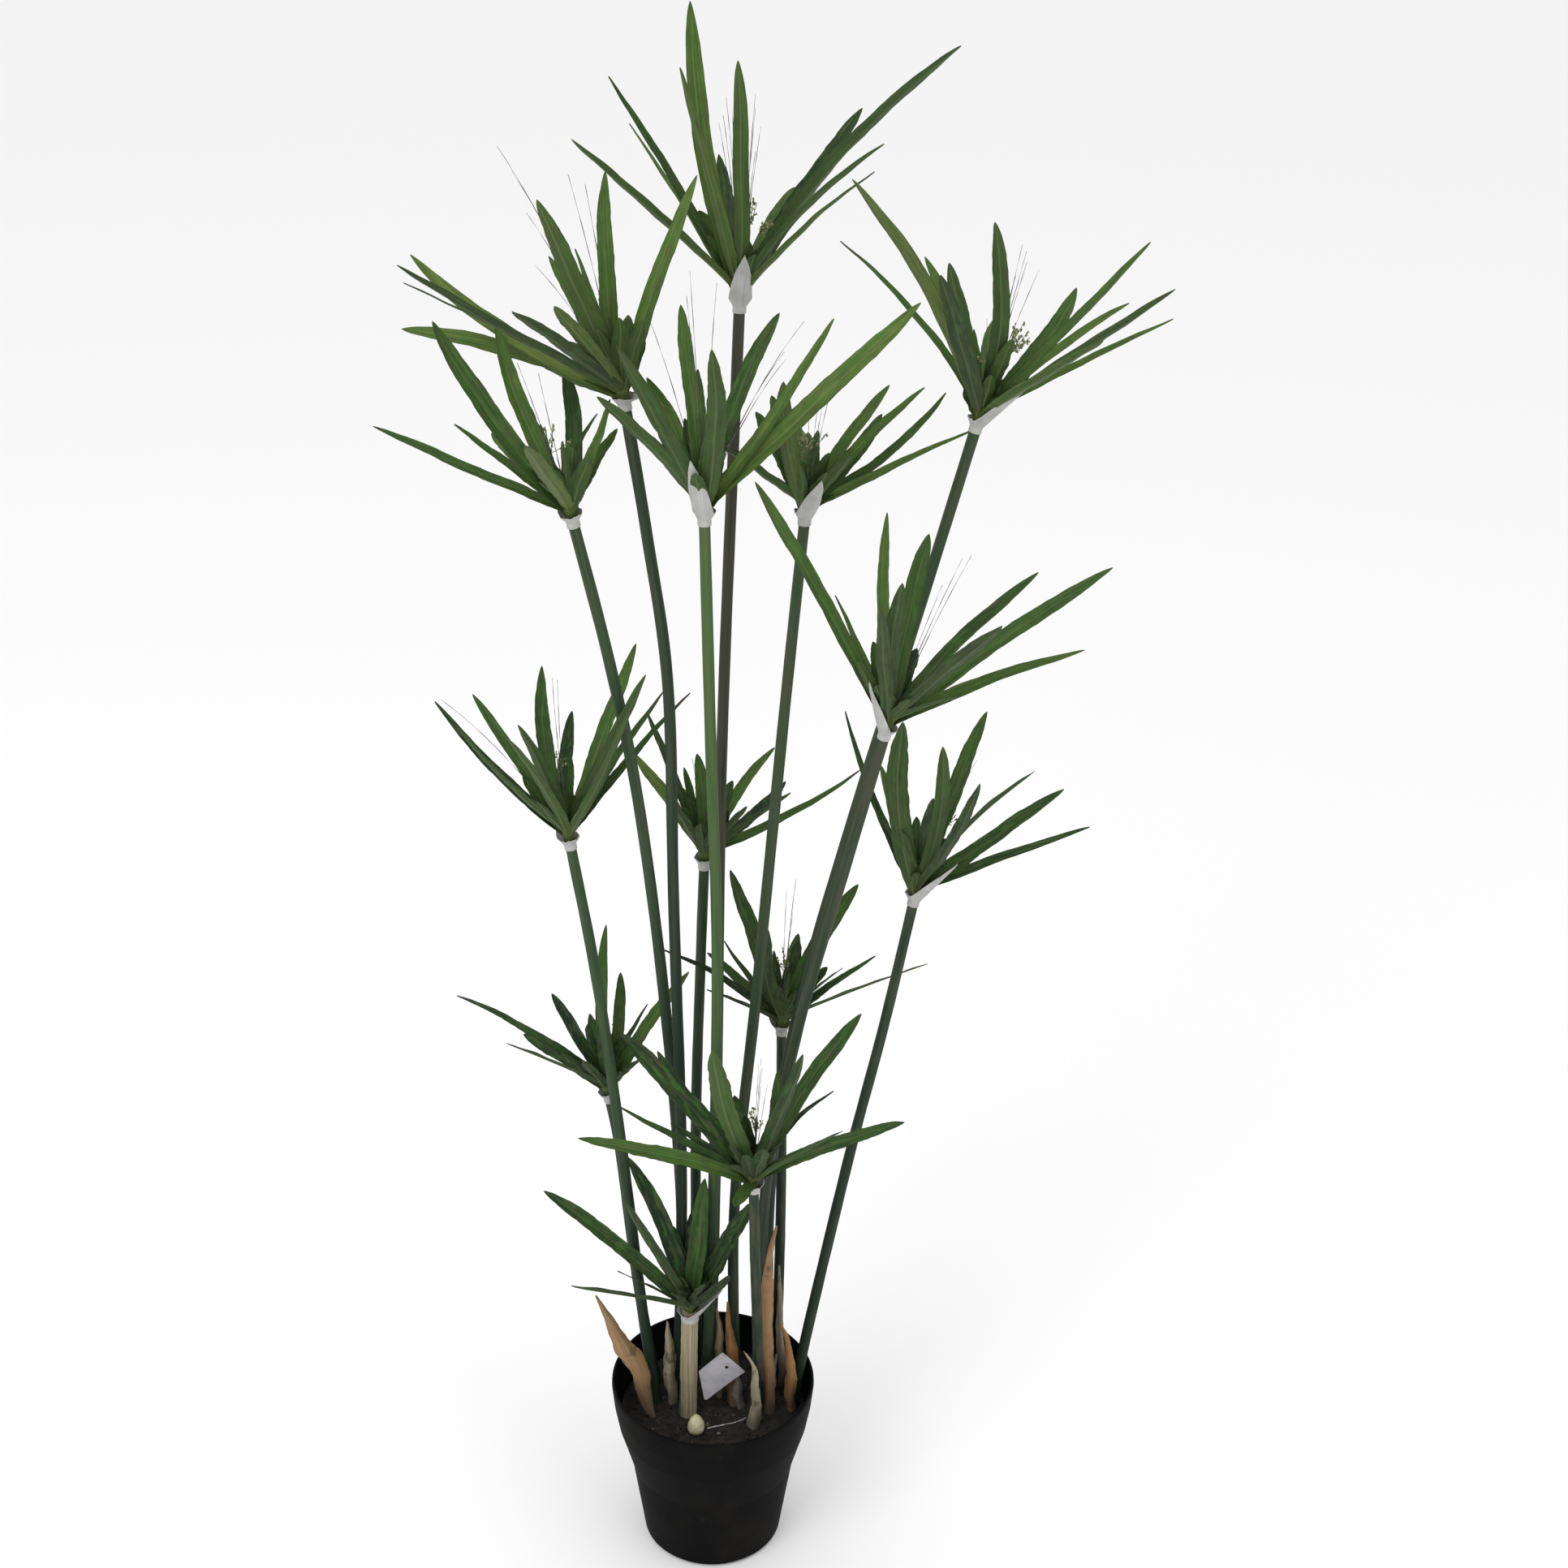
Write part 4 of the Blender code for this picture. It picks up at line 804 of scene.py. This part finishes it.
def makeSeeds(number, head):
    # From the end of each stalk a fan of twigs; beads sit at random along their outer parts
    rng = np.random.default_rng(500 + number)
    axis = headAxis(head)
    shapes = []
    for tip in sprays[number]["seeds"]:
        stalk = sprayLine(head, axis, tip, 14)
        shapes.append(tube(stalk[:12], np.full(12, spray["stalk"] * mm), 5, tone=0.3, seed=0))
        foot, way = stalk[9], unit(stalk[-1] - stalk[9])
        for _ in range(spray["twigs"]):
            lean = unit(way + spray["fan"] * rng.normal(size=3))
            reach = spray["twig"] * cm * rng.uniform(0.6, 1.2)
            t = np.linspace(0, 1, 6)[:, None]
            twig = foot + lean * reach * t + axis * reach * 0.2 * t**2
            shapes.append(tube(twig, np.full(6, spray["thin"] * mm), 4, tone=0.4, seed=0))
            place = rng.uniform(0.3, 1, spray["beads"])[:, None]
            centres = foot + lean * reach * place + axis * reach * 0.2 * place**2
            centres = centres + rng.normal(size=centres.shape) * 0.7 * mm
            sizes = spray["bead"] * mm * rng.uniform(0.6, 1.4, (spray["beads"], 1)) * [0.9, 0.9, 1.3]
            shapes.append(manyBalls(centres, sizes, 0.08, rng,
                                    tone=rng.uniform(0.1, 1, spray["beads"]),
                                    seed=rng.random(spray["beads"])))
    return addPiece(f"crown_{number:02d}_seeds", shapes, seedTan)


# Paper cuffs round the stem tops

cuff = {"below": 11.0, "rim": -1.0, "clear": 0.3, "flare": 3.4, "thick": 0.4, "rows": 22, "cols": 40,
        "flapHalf": 1.3, "flapRound": 0.62, "waist": 0.3, "bulge": 0.6, "wave": 0.8, "crease": 0.35}


def makeCuff(number, head):
    # Three rings of growing radius; the upper edge is drawn to the flap's tip over a part of the
    # turn, with round sides; from the waist to the edge the paper follows a quadratic arc, and it
    # is creased lengthwise
    rng = np.random.default_rng(200 + number)
    axis = headAxis(head)
    top, flap = np.array(head["top"]) * cm, np.array(head["flap"]) * cm
    first = unit(flap - axis * (flap @ axis))
    second = np.cross(axis, first)
    radius = ((stem["stalkRadii"] if number == len(heads) else stem["radii"])[1] + cuff["clear"] + 0.3) * mm
    turn = np.linspace(-np.pi, np.pi, cuff["cols"], endpoint=False)
    out = first * np.cos(turn)[:, None] + second * np.sin(turn)[:, None]
    low = top - axis * cuff["below"] * mm + out * radius
    waist = top - axis * stem["hub"] / 2 * mm + out * radius
    rim = top + axis * cuff["rim"] * mm + out * (radius + cuff["flare"] * mm)
    peak = np.clip(1 - np.abs(turn) / cuff["flapHalf"], 0, 1)[:, None] ** cuff["flapRound"]
    rimFront = top + axis * cuff["rim"] * mm + first * (radius + cuff["flare"] * mm)
    edge = rim + (top + flap - rimFront) * peak
    wave = ripple(turn / (2 * np.pi), rng, (5, 11, 17)) * cuff["wave"] * mm
    edge += axis * wave[:, None] * (1 - peak)
    s = np.linspace(0, 1, cuff["rows"])[:, None, None]
    lower = np.clip(s / cuff["waist"], 0, 1)
    upper = np.clip((s - cuff["waist"]) / (1 - cuff["waist"]), 0, 1)
    grid = (low + (waist - low) * lower) * (upper <= 0) + (
        (1 - upper)**2 * waist + 2 * upper * (1 - upper) * (waist + (rim - waist) * cuff["bulge"])
        + upper**2 * edge) * (upper > 0)
    crease = ripple(turn / (2 * np.pi), rng, (3, 7, 12))[None, :, None] * cuff["crease"] * mm
    crease = crease * (0.3 + upper)
    grid = grid + out[None] * crease
    along = np.gradient(grid, axis=0)
    across = (np.roll(grid, -1, axis=1) - np.roll(grid, 1, axis=1)) / 2
    normals = unit(np.cross(across, along))
    shape = shell(grid, normals, cuff["thick"] * mm, wraps=True, across=turn[None] / np.pi,
                  along=s[..., 0], seed=number / len(heads))
    name = f"sheath_{number:02d}"
    return addPiece(name + "_paper", [shape], palePaper, [name])


print("stems, leaves and sheaths")
stalkPale = stalkFinish()
for number, head in heads.items():
    cutStalk = number == len(heads)
    makeStem(number, head, stalkPale if cutStalk else stemGreen)
    makeCrown(number, head)
    makeCuff(number, head)
    if number in sprays:
        makeHairs(number, head)
        makeSeeds(number, head)


# Pot

pot = {"outside": [(5.52, 0.0), (5.84, 0.35), (6.88, 7.6), (7.00, 8.0), (7.48, 9.8), (7.96, 11.5),
                   (8.32, 13.6), (8.50, 15.45), (8.48, 15.75)],
       "wall": 0.22, "floor": 0.35, "sides": 128}


def potInside(height):
    radii, heights = zip(*pot["outside"])
    return np.interp(height, heights, radii) - pot["wall"]


def makePot():
    # Outer wall through the corners, a rounded lip, the inner wall parallel to the outer one
    outside = [np.array(p) for p in pot["outside"]]
    outer = [(0, 0)]
    for a, b in zip(outside[:-1], outside[1:]):
        count = max(2, int(np.linalg.norm(b - a) / 0.25))
        outer += [tuple(a + (b - a) * k / count) for k in range(count)]
    rim = pot["outside"][-1]
    lip = [(rim[0] - pot["wall"] / 2 + pot["wall"] / 2 * math.cos(a), rim[1] + 0.06 * math.sin(a))
           for a in np.linspace(0, math.pi, 7)]
    heights = np.linspace(rim[1] - 0.1, pot["floor"], 60)
    inner = [(float(potInside(h)), float(h)) for h in heights]
    profile = outer + lip + inner + [(0, pot["floor"])]
    shape = turnedShape(np.array(profile) * cm, pot["sides"])
    return addPiece("pot_body", [shape], potFinish(), ["pot"], sharp=30)


# Soil

soil = {"level": 12.4, "drop": 0.15, "rough": 0.16, "crumbs": 900, "slack": 0.06}


def groundHeight(x, y):
    # Soil level with a sum of slow and quick waves in drawn directions, in centimetres
    rng = np.random.default_rng(31)
    total = np.zeros_like(x)
    for wave in (0.6, 0.9, 1.5, 2.3, 3.1, 4.7, 6.1):
        a, phase = rng.uniform(0, 2 * np.pi, 2)
        total += np.sin((x * np.cos(a) + y * np.sin(a)) * wave + phase) / (1 + wave)
    return total * soil["rough"]


def makeSoil():
    # A closed turned solid whose upper face is lifted by the ground's waves
    bottom, shoulder = pot["floor"] + soil["slack"], soil["level"] - soil["drop"]
    edge = float(potInside(shoulder)) - soil["slack"]
    side = [(float(potInside(h)) - soil["slack"], h) for h in np.linspace(bottom, shoulder, 20)]
    face = [(r, soil["level"] - soil["drop"] * smooth((r / edge - 0.8) / 0.2))
            for r in np.linspace(edge, 0.05, 70)[1:]]
    profile = [(0, bottom)] + side + face + [(0, soil["level"])]

    def lifted(radius, height, turn):
        x, y = radius * np.cos(turn) / cm, radius * np.sin(turn) / cm
        onTop = height > (shoulder - 0.001) * cm
        fade = smooth((edge - radius / cm) / 0.4)
        return radius, height + onTop * fade * groundHeight(x, y) * cm

    shape = turnedShape(np.array(profile, float) * cm, 120, push=lifted)
    return addPiece("soil_ground", [shape], soilFinish(), ["soil"], sharp=180)


def makeCrumbs():
    # Rough balls of many sizes, most of them small, half sunk in the ground
    rng = np.random.default_rng(32)
    count = soil["crumbs"]
    edge = float(potInside(soil["level"])) - 0.35
    radius, turn = edge * np.sqrt(rng.random(count)), rng.uniform(0, 2 * np.pi, count)
    x, y = radius * np.cos(turn), radius * np.sin(turn)
    size = 0.06 + 0.16 * rng.random(count) ** 3
    z = soil["level"] + groundHeight(x, y) + size * 0.3
    z = z - soil["drop"] * smooth((radius / edge - 0.8) / 0.2)
    sizes = size[:, None] * rng.uniform(0.6, 1.2, (count, 3)) * cm
    shape = manyBalls(np.stack([x, y, z], -1) * cm, sizes, 0.2, rng, tone=rng.random(count) ** 1.5)
    return addPiece("soil_crumbs", [shape], crumbFinish(), sharp=60)


print("pot and soil")
makePot()
makeSoil()
makeCrumbs()


# Dry sheaths that stand on the soil: way, widths, side they look to, colour and paleness

drySheaths = [
    dict(way=[(-4.9, -1.2), (-6.3, -1.6, 17.7), (-7.3, -2.0, 20.6), (-8.7, -2.3, 24.2), (-9.5, -2.5, 26.3)],
         widths=[6, 17, 19, 9], looks=(0.4, -1, 0.3), tone=0.7, pale=0.1),
    dict(way=[(-3.6, 0.4), (-3.6, 0.4, 17.5), (-3.8, 0.3, 21.3)], widths=[10, 12], looks=(0, -1, 0.2),
         tone=0.45, pale=0.5),
    dict(way=[(0.7, 1.1), (0.55, 1.2, 19.3), (0.3, 1.3, 21.9)], widths=[6, 9], looks=(0.3, -1, 0),
         tone=0.5, pale=0.3),
    dict(way=[(1.7, 0.0), (1.5, 0.3, 18.4), (1.2, 0.6, 23.1)], widths=[12, 11], looks=(0, -1, 0.1),
         tone=0.9, pale=0.0),
    dict(way=[(2.2, -0.4), (2.1, -0.4, 14.4), (2.05, -0.4, 16.6)], widths=[8, 10], looks=(0, -1, 0.1),
         tone=0.1, pale=0.1),
    dict(way=[(3.4, -2.8), (3.5, -2.8, 15.7), (3.3, -2.9, 19.0), (2.6, -3.0, 20.8)],
         widths=[12, 9, 6], looks=(-0.3, -1, 0.1), tone=0.4, pale=0.6),
    dict(way=[(4.6, -0.9), (4.4, -1.0, 21.5), (4.4, -1.1, 27.0), (5.1, -1.0, 32.1)],
         widths=[10, 13, 13], looks=(0, -1, 0.1), tone=0.8, pale=0.1),
    dict(way=[(5.8, 2.6), (5.7, 2.6, 18.4), (5.5, 2.6, 25.3)], widths=[7, 7], looks=(0, -1, 0),
         tone=0.3, pale=0.2),
    dict(way=[(4.9, 0.1), (5.0, 0.1, 15.4), (5.3, 0.1, 18.0)], widths=[6, 6], looks=(0, -1, 0),
         tone=0.2, pale=0.1),
    dict(way=[(6.6, -0.6), (6.4, -0.6, 16.8), (6.3, -0.5, 19.7), (5.6, -0.3, 21.5)],
         widths=[9, 11, 7], looks=(0, -1, 0.1), tone=0.85, pale=0.0),
]
dry = {"rows": 48, "cols": 13, "thick": 0.5, "curl": 0.45, "torn": 0.15, "twist": 0.45, "narrow": 0.9}


def makeDrySheath(number, sheath):
    # A strap along a smooth way, hollowed away from the viewer and turned slowly about its way,
    # with wavering edges and a ragged end
    rng = np.random.default_rng(300 + number)
    first = (*sheath["way"][0], soil["level"])
    line = curveThrough([first] + sheath["way"][1:], dry["rows"]) * cm
    t = np.linspace(0, 1, dry["rows"])
    u = np.linspace(-1, 1, dry["cols"])
    knots = np.linspace(0, 1, len(sheath["widths"]) + 1)
    width = np.interp(t, knots, sheath["widths"] + [1.5]) * mm
    along, normal, across = carried(line, np.array(sheath["looks"], float))
    twist = dry["twist"] * ripple(t, rng, (0.8, 1.7))
    normal, across = twisted(normal, across, twist)
    edges = [dry["narrow"] + dry["torn"] * (ripple(t, rng, (1.6, 3, 6)) + ripple(t, rng, (11, 19)) / 4)
             for _ in range(2)]
    wide = np.where(u < 0, edges[0][:, None], edges[1][:, None]) * width[:, None] / 2
    hollow = -dry["curl"] * width[:, None] * u**2 + 0.3 * mm * ripple(t, rng, (2, 5))[:, None] * u
    grid = line[:, None] + across[:, None] * (wide * u)[..., None]
    grid = grid + normal[:, None] * hollow[..., None]
    grid[-1] += along[-1] * (ripple(u, rng, (1.5, 3.5))[:, None] * 1.5 * mm)
    normals = unit(np.cross(np.gradient(grid, axis=1), np.gradient(grid, axis=0)))
    shape = shell(grid, normals, dry["thick"] * mm, across=u, along=t[:, None],
                  tone=sheath["tone"], pale=sheath["pale"], seed=number / len(drySheaths))
    name = f"dry_sheath_{number:02d}"
    return addPiece(name + "_husk", [shape], dryStraw, [name])


# Hang tag

tag = {"corners": [(-0.7, -0.9, 14.0), (2.7, -0.75, 16.9), (0.8, -0.8, 19.0), (-1.2, -0.9, 17.1)],
       "hole": (1.15, -0.8, 17.4), "holeRadius": 1.6, "thick": 0.5, "bow": 0.7}


def makeTag():
    # Polar about the hole: rays run from the round hole to the card's rounded four-sided outline
    corners = np.array(tag["corners"])
    hole = np.array(tag["hole"])
    right = unit(corners[1] - corners[0])
    normal = unit(np.cross(right, corners[3] - corners[0]))
    upward = np.cross(normal, right)
    flat = np.stack([(corners - hole) @ right, (corners - hole) @ upward], -1)
    turn = np.linspace(0, 2 * np.pi, 96, endpoint=False)
    ray = np.stack([np.cos(turn), np.sin(turn)], -1)
    reach = np.full(len(turn), np.inf)
    for a, b in zip(flat, np.roll(flat, -1, axis=0)):
        side = b - a
        outward = unit(np.array([side[1], -side[0]]))
        towards = ray @ outward
        met = np.minimum(reach, (a @ outward) / np.maximum(towards, 1e-3))
        reach = np.where(towards > 1e-3, met, reach)
    s = np.linspace(0, 1, 16)[:, None]
    radius = tag["holeRadius"] / 10 + (reach - tag["holeRadius"] / 10) * s
    x, y = radius * np.cos(turn), radius * np.sin(turn)
    bowed = tag["bow"] / 10 * ((x / 2)**2 - 0.5)
    grid = (hole + x[..., None] * right + y[..., None] * upward + bowed[..., None] * normal) * cm
    shape = shell(grid, np.broadcast_to(normal, grid.shape), tag["thick"] * mm, wraps=True)
    card = (shape[0], [face[:, ::-1] for face in shape[1]], {})
    return addPiece("tag_card", [card], cardFinish(), ["tag"])


# Bud and rootlet on the soil

bud = {"foot": (-1.4, -3.3), "outside": [(3.0, 0.3), (6.4, 5.0), (7.0, 10.0), (4.6, 17.0), (0.4, 21.6)],
       "height": 22.0}


def makeBud():
    # The turned profile with three scales that wrap it like leaves round a shoot
    heights = np.linspace(0, 1, 40)
    radii = curveThrough([(r, 0, h) for r, h in bud["outside"]], 40)
    profile = [(0, soil["level"] * 10 + radii[0, 2])] + [(r, soil["level"] * 10 + h) for r, _, h in radii]
    profile.append((0, soil["level"] * 10 + bud["height"]))

    def scaled(radius, height, turn):
        s = heights[:, None]
        scale = 0.05 * np.abs(np.cos(1.5 * turn + 5 * s)) - 0.03
        return radius * (1 + scale * np.sin(np.pi * s)), height

    foot = np.array(bud["foot"]) * cm
    shape = turnedShape(np.array(profile) * mm, 40, centre=foot, push=scaled)
    return addPiece("shoot_bud_scales", [shape], budFinish(), ["shoot_bud"])


root = {"way": [(-0.5, -2.7), (0.2, -2.45), (1.1, -2.2), (2.0, -1.9), (2.8, -1.4)], "radius": 0.6}


def makeRoot():
    # A thin bar on the soil whose radius wavers and falls towards its end
    rng = np.random.default_rng(41)
    line = curveThrough([(x, y, soil["level"] + 0.09) for x, y in root["way"]], 50) * cm
    t = np.linspace(0, 1, 50)
    radii = root["radius"] * mm * (1 - 0.5 * t) * (1 + 0.15 * ripple(t, rng, (6, 11)))
    return addPiece("surface_root_thread", [tube(line, radii, 10)], rootFinish(), ["surface_root"])


print("dry sheaths, tag, bud and rootlet")
for number, sheath in enumerate(drySheaths, 1):
    makeDrySheath(number, sheath)
makeTag()
makeBud()
makeRoot()


# Camera at the photograph's angle, pale floor and soft studio light

camera = {"place": (0, -1.602, 1.533), "down": 26.96, "right": 1.82, "roll": 1.02, "lens": 55.9}


def addCamera():
    down, right, roll = (math.radians(camera[k]) for k in ("down", "right", "roll"))
    forward = Vector((math.sin(right) * math.cos(down), math.cos(right) * math.cos(down), -math.sin(down)))
    level = Vector((math.cos(right), -math.sin(right), 0))
    upright = level.cross(forward)
    x = level * math.cos(roll) + upright * math.sin(roll)
    y = upright * math.cos(roll) - level * math.sin(roll)
    data = bpy.data.cameras.new("view")
    data.lens = camera["lens"]
    data.sensor_width = 36
    made = bpy.data.objects.new("view", data)
    turned = Matrix((x, y, -forward)).transposed().to_4x4()
    turned.translation = Vector(camera["place"])
    made.matrix_world = turned
    bpy.context.scene.collection.objects.link(made)
    bpy.context.scene.camera = made


def addFloor():
    mesh = bpy.data.meshes.new("floor")
    reach = 20
    mesh.from_pydata([(-reach, -reach, 0), (reach, -reach, 0), (reach, reach, 0), (-reach, reach, 0)], [],
                     [(0, 1, 2, 3)])
    look = Look("pale floor")
    mesh.materials.append(look.close((0.94, 0.94, 0.94), 0.9, gloss=0.1))
    floor = bpy.data.objects.new("floor", mesh)
    bpy.context.scene.collection.objects.link(floor)


lights = {
    "key": dict(place=(-1.6, -2.0, 2.9), size=1.6, power=34),
    "fill": dict(place=(2.2, -1.8, 2.2), size=2.0, power=12),
}
daylight = 0.95


def addLights():
    aim = Vector((0, 0, 0.6))
    for name, light in lights.items():
        data = bpy.data.lights.new(name, "AREA")
        data.energy = light["power"]
        data.size = light["size"]
        made = bpy.data.objects.new(name, data)
        made.location = light["place"]
        made.rotation_euler = (aim - Vector(light["place"])).to_track_quat("-Z", "Y").to_euler()
        bpy.context.scene.collection.objects.link(made)
    world = bpy.data.worlds.new("studio")
    world.use_nodes = True
    world.node_tree.nodes["Background"].inputs["Color"].default_value = (1, 1, 1, 1)
    world.node_tree.nodes["Background"].inputs["Strength"].default_value = daylight
    bpy.context.scene.world = world
    bpy.context.scene.view_settings.view_transform = "Standard"


print("camera, floor and light")
addCamera()
addFloor()
addLights()
